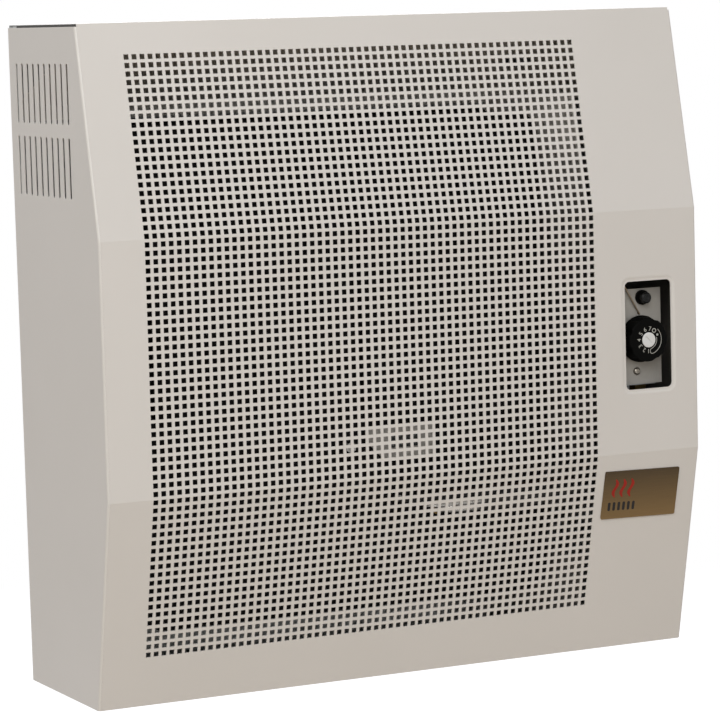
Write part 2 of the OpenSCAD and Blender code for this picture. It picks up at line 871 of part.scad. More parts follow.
module sight_frame() {
    pocket = glass_t + 0.2;
    high = pocket + 2;
    ear = sight_ear;
    color(steel) difference() {
        along_y(-hx_front - high, -hx_front) translate([sight_x, sight_z]) {
            rounded(glass_w + 2 * sight_rim, glass_h + 9, 4);
            rounded(glass_w + 2 * (sight_rim + ear), 13, 6);
        }
        along_y(-hx_front - pocket, -hx_front + through) translate([sight_x, sight_z])
            square([glass_w + 0.6, glass_h + 0.6], center = true);
        along_y(-hx_front - high - through, -hx_front) translate([sight_x, sight_z])
            rounded(glass_w - 14, glass_h - 9, 3);
        // the ears are thinner than the rim
        along_y(-hx_front - high - through, -hx_front - sight_ear_t) for (s = [-1, 1])
            translate([sight_x + s * (glass_w / 2 + sight_rim + ear), sight_z])
                square([2 * ear, 14], center = true);
    }
}

module sight_glass() {
    color([0.75, 0.85, 0.85]) along_y(-hx_front - glass_t, -hx_front)
        translate([sight_x, sight_z]) square([glass_w, glass_h], center = true);
}

module sight_nuts() {
    color(steel) for (s = [-1, 1])
        hex_y(sight_x + s * (glass_w / 2 + sight_rim + sight_ear * 2 / 3), sight_z,
            -hx_front - sight_ear_t - sight_nut_t, -hx_front - sight_ear_t, 10);
}

module door_gasket() {
    color([0.85, 0.83, 0.78]) along_y(-hx_front - gasket_t, -hx_front)
        translate([door_x, door_z]) difference() {
            rounded(door_w - 2, door_h - 2, 7);
            rounded(door_w - 2 * door_rim - 2, door_h - 2 * door_rim - 2, 6);
            door_holes();
        }
}

door_y = -hx_front - gasket_t;
door_screw_x = (door_w - door_rim) / 2;
door_screw_z = (door_h - door_rim) / 2;

module door_holes() {
    for (x = [-1, 0, 1], z = [-1, 1]) translate([x * door_screw_x, z * door_screw_z])
        circle(r = screw_hole);
}

module burner_door() {
    color(black) along_y(door_y - door_t, door_y) translate([door_x, door_z]) difference() {
        rounded(door_w, door_h, 8);
        door_holes();
        for (entry = entries()) translate([entry[0] - door_x, entry[1] - door_z])
            circle(r = entry[2] + 0.1);
    }
}

// Where the lines pass the burner door: place across, height and radius
pipe_x = door_x + pipe_right;
spark_x = door_x - 3;
spark_z = burner_z + 13;
pilot_in_x = door_x + 15;
pilot_in_z = burner_z + 7;
couple_in_x = door_x + 31;
couple_in_z = burner_z + 20;
function entries() = [
    [pipe_x, burner_z, injector_r], [spark_x, spark_z, 3], [pilot_in_x, pilot_in_z, 3],
    [couple_in_x, couple_in_z, 2.5]
];

module door_screws() {
    color(steel) for (x = [-1, 0, 1], z = [-1, 1])
        translate([door_x + x * door_screw_x, door_y - door_t, door_z + z * door_screw_z])
            rotate([90, 0, 0]) screw(gasket_t + door_t);
}

// ---- Burner ----

injector_r = 7;

module main_burner() {
    wall = 1.5;
    ports = 22;
    port_pitch = (burner_right - burner_left - 20) / ports;
    foot_low = hx_low + hx_wall;
    color(steel) {
        difference() {
            translate([burner_left, -burner_y, burner_z]) rotate([0, 90, 0])
                cylinder(h = burner_right - burner_left, d = burner_d);
            translate([burner_left + wall, -burner_y, burner_z]) rotate([0, 90, 0])
                cylinder(h = burner_right - burner_left - 2 * wall, d = burner_d - 2 * wall);
            translate([burner_right - 2 * wall, -burner_y, burner_z]) rotate([0, 90, 0])
                cylinder(h = 4 * wall, d = 12);
            for (i = [0:ports - 1])
                translate([burner_left + 10 + (i + 0.5) * port_pitch - 1, -burner_y - 12, burner_z])
                    cube([2, 24, burner_d]);
        }
        for (x = [burner_left + 30, burner_right - 30]) difference() {
            translate([x, -burner_y - 14, foot_low]) cube([2, 28, burner_z - foot_low]);
            translate([x - 1, -burner_y, burner_z]) rotate([0, 90, 0])
                cylinder(h = 4, d = burner_d - wall);
        }
    }
}

module burner_injector() {
    tip = burner_right + seat;
    color(brass) {
        drum(pipe_x, burner_z, door_y - door_t, -burner_y, injector_r);
        translate([tip, -burner_y, burner_z]) rotate([0, 90, 0]) cylinder(h = 8, r = 3);
        translate([tip + 8, -burner_y, burner_z]) rotate([0, 90, 0])
            cylinder(h = pipe_x - tip - 8, r = 5.5);
        translate([pipe_x, -burner_y, burner_z]) sphere(r = injector_r);
    }
}

pilot_gap = 14;     // from the burner's side to the pilot
pilot_y = -(burner_y + burner_d / 2 + pilot_gap);

module pilot_burner() {
    color(steel) {
        drum(pilot_in_x, pilot_in_z, door_y - door_t, pilot_y, 3);
        translate([pilot_in_x, pilot_y, pilot_in_z - 6]) cylinder(h = 24, r = 5);
    }
}

module spark_electrode() {
    color([0.95, 0.94, 0.9]) drum(spark_x, spark_z, door_y - door_t - 4, pilot_y, 3);
    color(steel) drum(spark_x, spark_z, pilot_y, pilot_y + 8, 1);
}

module thermocouple() {
    color(copper) drum(couple_in_x, couple_in_z, door_y - door_t, pilot_y + 8, 2.5);
}

line_bend = 10;     // radius of the bends in the lines to the burner

module burner_pipe() {
    color([0.8, 0.78, 0.72]) pipe([
        [outlet_x, port_y, valve_low - port_h], [outlet_x, port_y, burner_z],
        [pipe_x, port_y, burner_z], [pipe_x, door_y - door_t, burner_z]
    ], pipe_d / 2, line_bend);
}

module pilot_pipe() {
    color(copper) pipe([
        [pilot_x, thin_y, valve_low - port_h / 2], [pilot_x, thin_y, pilot_in_z],
        [pilot_in_x, thin_y, pilot_in_z], [pilot_in_x, door_y - door_t, pilot_in_z]
    ], 2, line_bend);
}

module thermocouple_lead() {
    color(copper) pipe([
        [couple_x, thin_y, valve_low - port_h / 2], [couple_x, thin_y, couple_in_z],
        [couple_in_x, thin_y, couple_in_z], [couple_in_x, door_y - door_t, couple_in_z]
    ], 1.5, line_bend);
}

lead_out = 20;      // from the burner door out to the lead's cross run
lead_side = 9;      // from the valve's side to the lead's way down
lead_tail = 14;     // from the igniter's back to the lead's first bend
lead_y = door_y - lead_out;
lead_x = valve_x - valve_w / 2 - lead_side;
lead_back_y = igniter_back_y + lead_tail;

module ignition_lead() {
    color(black) pipe([
        [igniter_x, igniter_back_y, igniter_z], [igniter_x, lead_back_y, igniter_z],
        [lead_x, lead_back_y, igniter_z], [lead_x, lead_back_y, spark_z],
        [lead_x, lead_y, spark_z], [spark_x, lead_y, spark_z],
        [spark_x, door_y - door_t - 4, spark_z]
    ], 2.5, 6);
}

bulb_x = shield_x + sheet + 9;
bulb_y = -burner_y + 16;
bulb_low = 60;
bulb_h = 80;

// Turns of the capillary in front of the plate, across and up from the knob's axis
capillary_start = [0.7, 24.9];
capillary_top = [-17.6, 56];
capillary_turn = [-25, 64];
capillary_out = 2.5;
capillary_dip = 8;

module sensor_capillary() {
    out_y = plate_y - capillary_out;
    start_x = knob_x + capillary_start.x;
    start_z = knob_z + capillary_start.y;
    turn_z = knob_z + capillary_turn.y;
    color(copper) thin_line([
        [start_x, plate_y, start_z], [start_x, out_y, start_z],
        [knob_x + capillary_top.x, out_y, knob_z + capillary_top.y],
        [knob_x + capillary_turn.x, out_y + capillary_dip, turn_z],
        [bulb_x, bulb_y, turn_z], [bulb_x, bulb_y, bulb_low + bulb_h]
    ], 0.8);
}

module sensor_bulb() {
    color(copper) translate([bulb_x, bulb_y, bulb_low]) cylinder(h = bulb_h, r = 4.5);
}

module bulb_clips() {
    color(steel) for (z = [bulb_low + 15, bulb_low + bulb_h - 25]) along_z(z, z + 10)
        difference() {
            union() {
                translate([bulb_x, bulb_y]) circle(r = 5.9);
                translate([shield_x + sheet, bulb_y - 4]) square([8, 8]);
            }
            translate([bulb_x, bulb_y]) circle(r = 4.5 + 0.1);
        }
}

// ---- Gas inlet ----

module gas_inlet() {
    low = 2;
    thread_h = 24;
    color(brass) translate([inlet_x, -inlet_y, low]) difference() {
        union() {
            cylinder(h = thread_h, d = inlet_thread);
            translate([0, 0, thread_h]) cylinder(h = 10, d = 27 / cos(30), $fn = 6);
        }
        translate([0, 0, -through]) cylinder(h = thread_h + 10 + 2 * through, r = 6);
    }
}

module inlet_pipe() {
    color(steel) pipe([
        [inlet_x, port_y, valve_low - port_h], [inlet_x, port_y, valve_low - 52],
        [inlet_x, -inlet_y, valve_low - 52], [inlet_x, -inlet_y, 36]
    ], inlet_pipe_d / 2, 16);
}

module union_nuts() {
    color(brass) for (p = [[outlet_x, pipe_d / 2], [inlet_x, inlet_pipe_d / 2]])
        translate([p[0], port_y, valve_low - port_h - 6]) difference() {
            cylinder(h = 14, d = 22 / cos(30), $fn = 6);
            translate([0, 0, -through]) cylinder(h = 6 + 2 * through, r = p[1] + 0.1);
            translate([0, 0, 6]) cylinder(h = 14, r = 9.1);
        }
}

// ---- Air guides ----

module air_deflector() {
    t = 1;
    low = hx_high + 20;
    high = case_h - 14;
    front = bow_y(high, sheet) + 16;
    half = case_w / 2 - sheet - back_t - 3;
    color(steel) difference() {
        along_x(-half, half) polygon([
            [-back_t, low - 14], [-back_t - t, low - 14], [-back_t - t, low],
            [front, high - t], [front, high], [-back_t, low + t]
        ]);
        // hole for the warm air that rises beside the shield
        translate([shield_x - 16, bulb_y, low - through]) cube([36, 26, case_h - low]);
    }
}

module heat_shield() {
    low = base_rise + 2 * sheet;
    high = hx_high + 14;
    inset = 12;
    points = bow(inset, low, high);
    color([0.7, 0.7, 0.68]) difference() {
        along_x(shield_x, shield_x + sheet)
            polygon(concat([[-back_t, low]], points, [[-back_t, high]]));
        // notch for the pipes to the burner
        translate([shield_x - through, -case_d, burner_z - 60])
            cube([sheet + 2 * through, case_d - burner_y - 10, 110]);
    }
}

front_panel();
side_panel_left();
side_panel_right();
top_panel();
base_tray();
back_frame();
badge();
control_plate();
control_knob();
knob_cap();
valve_spindle();
valve_bush();
gas_valve();
valve_bracket();
igniter_body();
igniter_button();
igniter_nut();
heat_exchanger();
exchanger_back();
exchanger_brackets();
air_channel();
duct_gasket();
duct_flange();
air_collar();
flue_collar();
sight_frame();
sight_glass();
burner_door();
door_gasket();
main_burner();
burner_injector();
pilot_burner();
spark_electrode();
thermocouple();
burner_pipe();
pilot_pipe();
thermocouple_lead();
ignition_lead();
sensor_capillary();
sensor_bulb();
bulb_clips();
gas_inlet();
inlet_pipe();
union_nuts();
air_deflector();
heat_shield();
casing_screws();
bracket_screws();
door_screws();
sight_nuts();
duct_bolts();
plate_screw();
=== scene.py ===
# %% [markdown]
# # A wall mounted gas heater
#
# The heater is a box of bent sheet steel with a sealed black heat exchanger inside. Its front
# is bowed into three flat faces and full of small square holes, so nearly everything that the
# eye meets is either powder-coated sheet or something dim behind it. The construction comes in
# as a fixed frame: every piece already stands at its real size and place, in metres, and this
# script gives the pieces their finishes and models those that need finer sheet-metal work.

# %% Load the frame
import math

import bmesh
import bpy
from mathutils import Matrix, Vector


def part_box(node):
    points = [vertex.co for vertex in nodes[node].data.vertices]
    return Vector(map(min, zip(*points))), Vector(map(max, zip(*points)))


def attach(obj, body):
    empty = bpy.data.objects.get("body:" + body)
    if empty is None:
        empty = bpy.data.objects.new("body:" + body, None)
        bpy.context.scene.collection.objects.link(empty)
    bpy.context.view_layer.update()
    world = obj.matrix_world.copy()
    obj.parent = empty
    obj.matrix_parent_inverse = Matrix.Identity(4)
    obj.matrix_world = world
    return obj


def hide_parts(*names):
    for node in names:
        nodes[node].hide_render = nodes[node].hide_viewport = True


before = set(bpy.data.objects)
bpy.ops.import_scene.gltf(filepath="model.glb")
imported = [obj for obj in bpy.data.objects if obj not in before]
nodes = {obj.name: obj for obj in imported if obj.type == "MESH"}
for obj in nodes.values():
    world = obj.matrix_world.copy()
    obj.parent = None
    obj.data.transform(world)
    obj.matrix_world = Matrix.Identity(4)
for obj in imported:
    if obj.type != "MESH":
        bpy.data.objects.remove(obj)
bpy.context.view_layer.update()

# %% [markdown]
# ## Tools for the lesson
#
# Sizes are written in millimetres, as on a drawing, and one factor turns them into the
# frame's metres. Each helper is defined where it is first needed.

MM = 0.001

# %% [markdown]
# ## Camera
#
# The photograph was taken from the heater's left with a long lens, about 3.3 m away and a
# little above it. The grid of square holes made a good ruler: the camera was solved from
# the hole centres and the casing's corners, so its place is a measured one.

# %% Camera
CAMERA_PLACE = (-1.41517, -2.98734, 0.64754)
CAMERA_TURN = (83.884, 1.580, -26.279)
CAMERA_LENS = 162.826

camera_data = bpy.data.cameras.new("camera")
camera_data.lens = CAMERA_LENS
camera_data.sensor_width = 36
camera = bpy.data.objects.new("camera", camera_data)
camera.location = CAMERA_PLACE
camera.rotation_euler = [math.radians(angle) for angle in CAMERA_TURN]
bpy.context.scene.collection.objects.link(camera)
bpy.context.scene.camera = camera
bpy.context.scene.view_settings.view_transform = "Standard"

# %% [markdown]
# ## Colours and nodes
#
# Colours are picked as the screen shows them and have to be turned to linear light for the
# renderer. One small function adds a shader node, sets it and links it.

# %% Helpers for materials


def to_linear(hex_colour):
    """An sRGB hex colour as linear red, green, blue and alpha."""
    values = [int(hex_colour[i:i + 2], 16) / 255 for i in (1, 3, 5)]
    linear = [v / 12.92 if v <= 0.04045 else ((v + 0.055) / 1.055) ** 2.4 for v in values]
    return (*linear, 1.0)


def add_node(tree, kind, inputs=None, **settings):
    """Add a node, set its options and fill its inputs with values or links."""
    node = tree.nodes.new(kind)
    for name, value in settings.items():
        setattr(node, name, value)
    for key, value in (inputs or {}).items():
        if isinstance(value, bpy.types.NodeSocket):
            tree.links.new(value, node.inputs[key])
        else:
            node.inputs[key].default_value = value
    return node


def start_material(name):
    """A new material with an empty tree, and its Object coordinates."""
    material = bpy.data.materials.new(name)
    material.use_nodes = True
    tree = material.node_tree
    tree.nodes.clear()
    return material, tree, add_node(tree, "ShaderNodeTexCoord").outputs["Object"]


# %% [markdown]
# ## Starting a piece
#
# Blender's operators act on whatever is selected, and the frame arrives selected, so
# everything is deselected first. A primitive is then added at its size and place, and its
# place goes into its mesh, because a finished piece's object has to stay at the origin.

# %% Start a piece


def apply_place():
    """Move the place, turn and scale of what is selected into its mesh."""
    bpy.ops.object.transform_apply(location=True, rotation=True, scale=True)


def start_piece(name, add, scale=(1, 1, 1), **settings):
    """Add a primitive and move its place, turn and scale into its mesh."""
    bpy.ops.object.select_all(action="DESELECT")
    add(**settings)
    piece = bpy.context.object
    piece.name = name
    piece.scale = scale
    apply_place()
    return piece


# %% [markdown]
# ## Floor, world and lamps
#
# The heater hangs on nothing here: a pale floor lies below it, and the background is white.
# The white is only for camera, mirror and glass rays: it shows in reflections, but doesn't
# light the paint.
# Near the heater the floor is a matt paint that takes its shadow, and further off it fades
# into the white. To all other rays it is a warm carpet, whose bounce tints the lower face.
# Four large lamps give the soft, nearly shadowless light of a product photograph, with the
# front a little brighter than the side.

# %% Floor, world and lamps
FLOOR_DROP = 0.30
FLOOR_R = 9
FADE_FROM, FADE_TO = 1.0, 2.2    # metres from the middle, between which the floor turns white
FLOOR_GLOW = 0.62
AMBIENT = 0.46
WHITE = (1, 1, 1, 1)


def seen_directly(tree):
    """1 for rays from the camera or through a mirror or glass, 0 for those that only light."""
    rays = add_node(tree, "ShaderNodeLightPath").outputs
    seen = rays["Is Camera Ray"]
    for kind in ("Is Glossy Ray", "Is Transmission Ray"):
        seen = add_node(tree, "ShaderNodeMath", {0: seen, 1: rays[kind]},
                        operation="MAXIMUM").outputs[0]
    return seen


world = bpy.data.worlds.new("studio")
bpy.context.scene.world = world
world.use_nodes = True
tree = world.node_tree
tree.nodes.clear()
ambient = add_node(tree, "ShaderNodeBackground", {"Color": to_linear("#f4f6ff"),
                                                 "Strength": AMBIENT})
white = add_node(tree, "ShaderNodeBackground", {"Color": WHITE, "Strength": 1.0})
shown = add_node(tree, "ShaderNodeMixShader", {0: seen_directly(tree), 1: ambient.outputs[0],
                                              2: white.outputs[0]})
add_node(tree, "ShaderNodeOutputWorld", {"Surface": shown.outputs[0]})

floor = start_piece("floor", bpy.ops.mesh.primitive_circle_add, vertices=96, radius=FLOOR_R,
                    fill_type="NGON", location=(0, 0, -FLOOR_DROP))
floor_paint, tree, where = start_material("matt_floor_paint")
matt = add_node(tree, "ShaderNodeBsdfDiffuse", {"Color": to_linear("#e6e6e6")})
carpet = add_node(tree, "ShaderNodeBsdfDiffuse", {"Color": to_linear("#b8a68c")})
glow = add_node(tree, "ShaderNodeEmission", {"Color": WHITE, "Strength": FLOOR_GLOW})
white = add_node(tree, "ShaderNodeEmission", {"Color": WHITE, "Strength": 1.0})
lit = add_node(tree, "ShaderNodeAddShader", {0: matt.outputs[0], 1: glow.outputs[0]})
away = add_node(tree, "ShaderNodeVectorMath", {0: where}, operation="LENGTH")
far = add_node(tree, "ShaderNodeMapRange", {0: away.outputs["Value"], 1: FADE_FROM, 2: FADE_TO})
ground = add_node(tree, "ShaderNodeMixShader", {0: far.outputs[0], 1: lit.outputs[0],
                                               2: white.outputs[0]})
shown = add_node(tree, "ShaderNodeMixShader", {0: seen_directly(tree), 1: carpet.outputs[0],
                                              2: ground.outputs[0]})
add_node(tree, "ShaderNodeOutputMaterial", {"Surface": shown.outputs[0]})
floor.data.materials.append(floor_paint)


def add_lamp(name, place, aim, size, power):
    """A square area lamp that faces a point."""
    lamp = bpy.data.lights.new(name, "AREA")
    lamp.size = size
    lamp.energy = power
    holder = bpy.data.objects.new(name, lamp)
    holder.location = place
    holder.rotation_euler = (Vector(aim) - Vector(place)).to_track_quat("-Z", "Y").to_euler()
    bpy.context.scene.collection.objects.link(holder)


OBJECT_MIDDLE = (0, -0.11, 0.32)
add_lamp("key", (-1.3, -2.9, 2.3), OBJECT_MIDDLE, 2.4, 70)
add_lamp("left_fill", (-2.5, -1.2, 2.1), OBJECT_MIDDLE, 2.0, 16)
add_lamp("back_fill", (1.8, 3.0, 2.0), OBJECT_MIDDLE, 2.4, 40)
add_lamp("low_fill", (0.2, -2.6, -0.1), OBJECT_MIDDLE, 1.2, 5)

# %% [markdown]
# ## Powder coat
#
# The casing is powder-coated steel. The powder melts into a warm off-white skin with a fine
# orange-peel surface and a soft gloss. The real peel is about 1 mm from crest to crest, which
# is the size of a pixel here, so it is drawn at 2.5 mm to show at all. A second, very slow
# noise gives the faint drift in tone that an oven leaves.

# %% Powder coat
ORANGE_PEEL = 2.5 * MM
OVEN_DRIFT = 160 * MM


def show_tones(tree, share, dark, light, sockets):
    """Show a surface between two tones by a share, with its other sockets set or linked."""
    tone = add_node(tree, "ShaderNodeMix",
                    {0: share, 6: to_linear(dark), 7: to_linear(light)}, data_type="RGBA")
    surface = add_node(tree, "ShaderNodeBsdfPrincipled",
                       {"Base Color": tone.outputs[2], **sockets})
    add_node(tree, "ShaderNodeOutputMaterial", {"Surface": surface.outputs[0]})


def powder_coat():
    material, tree, where = start_material("powder_coated_steel")
    drift = add_node(tree, "ShaderNodeTexNoise",
                     {"Vector": where, "Scale": 1 / OVEN_DRIFT, "Detail": 2.0})
    peel = add_node(tree, "ShaderNodeTexNoise",
                    {"Vector": where, "Scale": 1 / ORANGE_PEEL, "Detail": 1.0})
    bump = add_node(tree, "ShaderNodeBump", {"Height": peel.outputs["Fac"], "Strength": 0.12,
                                             "Distance": 0.05 * MM})
    gloss = add_node(tree, "ShaderNodeMapRange", {0: peel.outputs["Fac"], 3: 0.30, 4: 0.40})
    show_tones(tree, drift.outputs["Fac"], "#cdc9c2", "#d3cfc9",
               {"Roughness": gloss.outputs[0], "IOR": 1.5, "Normal": bump.outputs[0]})
    return material


cream_coat = powder_coat()

# %% [markdown]
# ## Black stove enamel and black sheet
#
# The exchanger is coated with a matt heat-resistant enamel. It is nearly black with a fine
# grain, and it goes a little brown and dusty in patches with use.

# %% Stove enamel
ENAMEL_GRAIN = 1.6 * MM
DUST_PATCH = 45 * MM


def stove_enamel():
    material, tree, where = start_material("stove_enamel")
    patches = add_node(tree, "ShaderNodeTexNoise",
                       {"Vector": where, "Scale": 1 / DUST_PATCH, "Detail": 4.0})
    grain = add_node(tree, "ShaderNodeTexNoise",
                     {"Vector": where, "Scale": 1 / ENAMEL_GRAIN, "Detail": 2.0})
    bump = add_node(tree, "ShaderNodeBump", {"Height": grain.outputs["Fac"], "Strength": 0.3,
                                             "Distance": 0.1 * MM})
    show_tones(tree, patches.outputs["Fac"], "#090808", "#13110f",
               {"Roughness": 0.55, "IOR": 1.5, "Specular IOR Level": 0.08,
                "Normal": bump.outputs[0]})
    return material


black_enamel = stove_enamel()

# %% [markdown]
# ## Galvanised sheet
#
# The back frame and the base are hot-dip galvanised. Zinc freezes in flat crystals, the
# spangle, 6 to 10 mm across, and each crystal mirrors the light a little differently. A
# Voronoi pattern has such cells: its cell colour drives tone and roughness.

# %% Galvanised sheet
SPANGLE = 7 * MM


def galvanised_sheet():
    material, tree, where = start_material("galvanised_sheet")
    cells = add_node(tree, "ShaderNodeTexVoronoi", {"Vector": where, "Scale": 1 / SPANGLE})
    shade = add_node(tree, "ShaderNodeSeparateColor", {0: cells.outputs["Color"]})
    rough = add_node(tree, "ShaderNodeMapRange", {0: shade.outputs[1], 3: 0.42, 4: 0.60})
    show_tones(tree, shade.outputs[0], "#9c9e9c", "#bcbdba",
               {"Metallic": 0.85, "Roughness": rough.outputs[0]})
    return material


zinc_sheet = galvanised_sheet()

# %% [markdown]
# ## Weathered zinc
#
# The deflector and the shield stand in the warm air. There zinc grows a pale grey skin of
# carbonate, like chalk: it hides the spangle and scatters light instead of mirroring it, so
# what is behind the holes looks lighter there than the enamel does. The shield's tone is
# darkened by a colour ramp over the height, a painted shade: nearly black at the height of
# the flames, and lighter again towards its ends.

# %% Weathered zinc
CHALK_CLOUD = 30 * MM
RAMP_TOP = 600 * MM
# height in mm: share of the zinc's tone that the painted shade on the shield leaves
SHADE_BY_HEIGHT = {75: 0.34, 135: 0.20, 240: 0.12, 280: 0.04, 375: 0.04, 420: 0.14, 455: 0.24, 487: 0.48,
          525: 1.0}


def weathered_zinc(name, with_painted_shade):
    material, tree, where = start_material(name)
    clouds = add_node(tree, "ShaderNodeTexNoise",
                      {"Vector": where, "Scale": 1 / CHALK_CLOUD, "Detail": 4.0})
    tone = add_node(tree, "ShaderNodeMix",
                    {0: clouds.outputs["Fac"], 6: to_linear("#d0ccc2"), 7: to_linear("#e2ded4")},
                    data_type="RGBA")
    # painted shade: the shield's tone is darkened by the height
    if with_painted_shade:
        height = add_node(tree, "ShaderNodeSeparateXYZ", {0: where})
        share = add_node(tree, "ShaderNodeMath", {0: height.outputs["Z"], 1: RAMP_TOP},
                         operation="DIVIDE")
        ramp = add_node(tree, "ShaderNodeValToRGB", {0: share.outputs[0]})
        stops = ramp.color_ramp.elements
        while len(stops) < len(SHADE_BY_HEIGHT):
            stops.new(0.5)
        for stop, (height_mm, left) in zip(stops, SHADE_BY_HEIGHT.items()):
            stop.position = height_mm * MM / RAMP_TOP
            stop.color = (left, left, left, 1)
        tone = add_node(tree, "ShaderNodeMix", {0: 1.0, 6: tone.outputs[2], 7: ramp.outputs[0]},
                        data_type="RGBA", blend_type="MULTIPLY")
    rough = add_node(tree, "ShaderNodeMapRange", {0: clouds.outputs["Fac"], 3: 0.55, 4: 0.70})
    surface = add_node(tree, "ShaderNodeBsdfPrincipled",
                       {"Base Color": tone.outputs[2], "Metallic": 0.1,
                        "Roughness": rough.outputs[0]})
    add_node(tree, "ShaderNodeOutputMaterial", {"Surface": surface.outputs[0]})
    return material


dull_zinc = weathered_zinc("weathered_zinc_sheet", False)
# the shield's zinc carries painted shade that follows the height
shaded_zinc = weathered_zinc("zinc_sheet_painted_shade", True)

# %% [markdown]
# ## Plated, turned and drawn metals
#
# Screws are bright plated steel, brass fittings are turned and copper lines are drawn, so all
# of them carry very fine tool marks that only soften the reflections. One function makes them,
# with each metal's own colours and marks. Aluminised sheet has a chalky skin over the metal,
# so little of it is bare.

# %% Small metals


def worked_metal(name, dark, light, roughness, mark, bare=1.0):
    """A metal whose tone and roughness vary over marks of a given size; bare is how metallic."""
    material, tree, where = start_material(name)
    marks = add_node(tree, "ShaderNodeTexNoise",
                     {"Vector": where, "Scale": 1 / mark, "Detail": 3.0})
    rough = add_node(tree, "ShaderNodeMapRange", {0: marks.outputs["Fac"], 3: roughness,
                                                  4: roughness + 0.15})
    show_tones(tree, marks.outputs["Fac"], dark, light,
               {"Metallic": bare, "Roughness": rough.outputs[0]})
    return material


bright_steel = worked_metal("zinc_plated_steel", "#c3c1bc", "#dad8d2", 0.18, 4 * MM)
turned_brass = worked_metal("tarnished_brass", "#7c673a", "#978050", 0.32, 3 * MM)
drawn_copper = worked_metal("drawn_copper", "#766654", "#8c7c67", 0.40, 6 * MM)
# a near-black copper for the thermocouple and its lead, far darker than the capillary
near_black_copper = worked_metal("near_black_copper", "#2c231c", "#3d3128", 0.45, 6 * MM)
cast_aluminium = worked_metal("die_cast_aluminium", "#a3a4a3", "#b9b9b7", 0.45, 2 * MM)
plate_steel = worked_metal("phosphated_steel", "#6f6a64", "#7f7a73", 0.55, 5 * MM)
aged_steel = worked_metal("aged_plated_steel", "#8a8378", "#989186", 0.26, 3 * MM)
bezel_steel = worked_metal("heat_dulled_steel", "#9a968f", "#aca8a0", 0.50, 4 * MM)
mill_sheet = worked_metal("aluminised_sheet", "#9f9b93", "#aba79f", 0.60, 4 * MM, 0.20)

# %% [markdown]
# ## The gas pipes' finish
#
# Two pipes cross the lower part of the heater, the pilot's in front of the burner's. Their
# tone is painted along X: bright near the burners, a painted highlight, and dim beyond, a
# painted shade. Their roughness rises along X as well.

# %% Pipes with painted light
LIT_TO = 82 * MM
SHADED_FROM = 94 * MM
SHADED_SHARE = 0.10    # what the painted shade leaves of the metal's own tone
NEAR_ROUGH, FAR_ROUGH = 0.25, 0.60


def pipe_with_painted_light():
    """Plated steel with a painted highlight near the burners and painted shade beyond."""
    material, tree, where = start_material("plated_steel_painted_light")
    along = add_node(tree, "ShaderNodeSeparateXYZ", {0: where})
    left = add_node(tree, "ShaderNodeMapRange",
                    {0: along.outputs["X"], 1: LIT_TO, 2: SHADED_FROM, 3: 1.0, 4: SHADED_SHARE})
    tone = add_node(tree, "ShaderNodeMix",
                    {0: 1.0, 6: to_linear("#e2ded6"), 7: left.outputs[0]},
                    data_type="RGBA", blend_type="MULTIPLY")
    rough = add_node(tree, "ShaderNodeMapRange",
                     {0: along.outputs["X"], 1: LIT_TO, 2: SHADED_FROM, 3: NEAR_ROUGH,
                      4: FAR_ROUGH})
    surface = add_node(tree, "ShaderNodeBsdfPrincipled",
                       {"Base Color": tone.outputs[2], "Metallic": 0.9,
                        "Roughness": rough.outputs[0]})
    add_node(tree, "ShaderNodeOutputMaterial", {"Surface": surface.outputs[0]})
    return material


lit_and_shaded_steel = pipe_with_painted_light()

# %% [markdown]
# ## Plastics, rubber, fibre, glass and ceramic
#
# The knob and the igniter are black ABS moulded against a lightly etched tool. The knob's cap
# is the same plastic in pale grey, its marks are white ink. Seals are silicone rubber and
# mineral fibre, the sight glass is a heat-resistant glass, the electrode is glazed ceramic.

# %% Non-metals


def moulded(name, dark, light, roughness, grain, depth, shine=0.5):
    """A non-metal with a grain of a given size and depth; shine is its specular level."""
    material, tree, where = start_material(name)
    noise = add_node(tree, "ShaderNodeTexNoise",
                     {"Vector": where, "Scale": 1 / grain, "Detail": 2.0})
    bump = add_node(tree, "ShaderNodeBump", {"Height": noise.outputs["Fac"], "Strength": 0.5,
                                             "Distance": depth})
    rough = add_node(tree, "ShaderNodeMapRange", {0: noise.outputs["Fac"], 3: roughness,
                                                  4: roughness + 0.1})
    show_tones(tree, noise.outputs["Fac"], dark, light,
               {"Roughness": rough.outputs[0], "IOR": 1.5, "Specular IOR Level": shine,
                "Normal": bump.outputs[0]})
    return material


black_abs = moulded("etched_black_abs", "#060605", "#0a0a09", 0.45, 0.8 * MM, 0.03 * MM, 0.03)
worn_abs = moulded("polished_black_abs", "#090908", "#10100f", 0.30, 0.8 * MM, 0.02 * MM, 0.2)
pale_abs = moulded("pale_grey_abs", "#cfd0ce", "#d8d9d7", 0.35, 0.8 * MM, 0.02 * MM)
marking_ink = moulded("white_marking_ink", "#a4a49d", "#b2b2ab", 0.5, 0.6 * MM, 0.01 * MM, 0.2)
silicone = moulded("silicone_rubber", "#121211", "#1c1b1a", 0.6, 1.5 * MM, 0.05 * MM)
mineral_fibre = moulded("mineral_fibre", "#bdb7a8", "#d6d1c4", 0.9, 1.2 * MM, 0.3 * MM)
glazed_ceramic = moulded("glazed_ceramic", "#e4e1d8", "#eeebe3", 0.12, 8 * MM, 0.01 * MM)
# painted shade: a dark grey for the sides' inner faces, which lie in shade inside the casing
inside_shade_grey = moulded("dark_grey_painted_shade", "#67645e", "#736f68", 0.6, 3 * MM, 0.02 * MM, 0.2)
# painted shadow: a dark grey for the top cover's lips and edges, for the shadowed gap
gap_shadow_grey = moulded("dark_grey_painted_shadow", "#35332f", "#3d3b37", 0.6, 1.5 * MM, 0.05 * MM)


SMOKE_CLOUD = 12 * MM


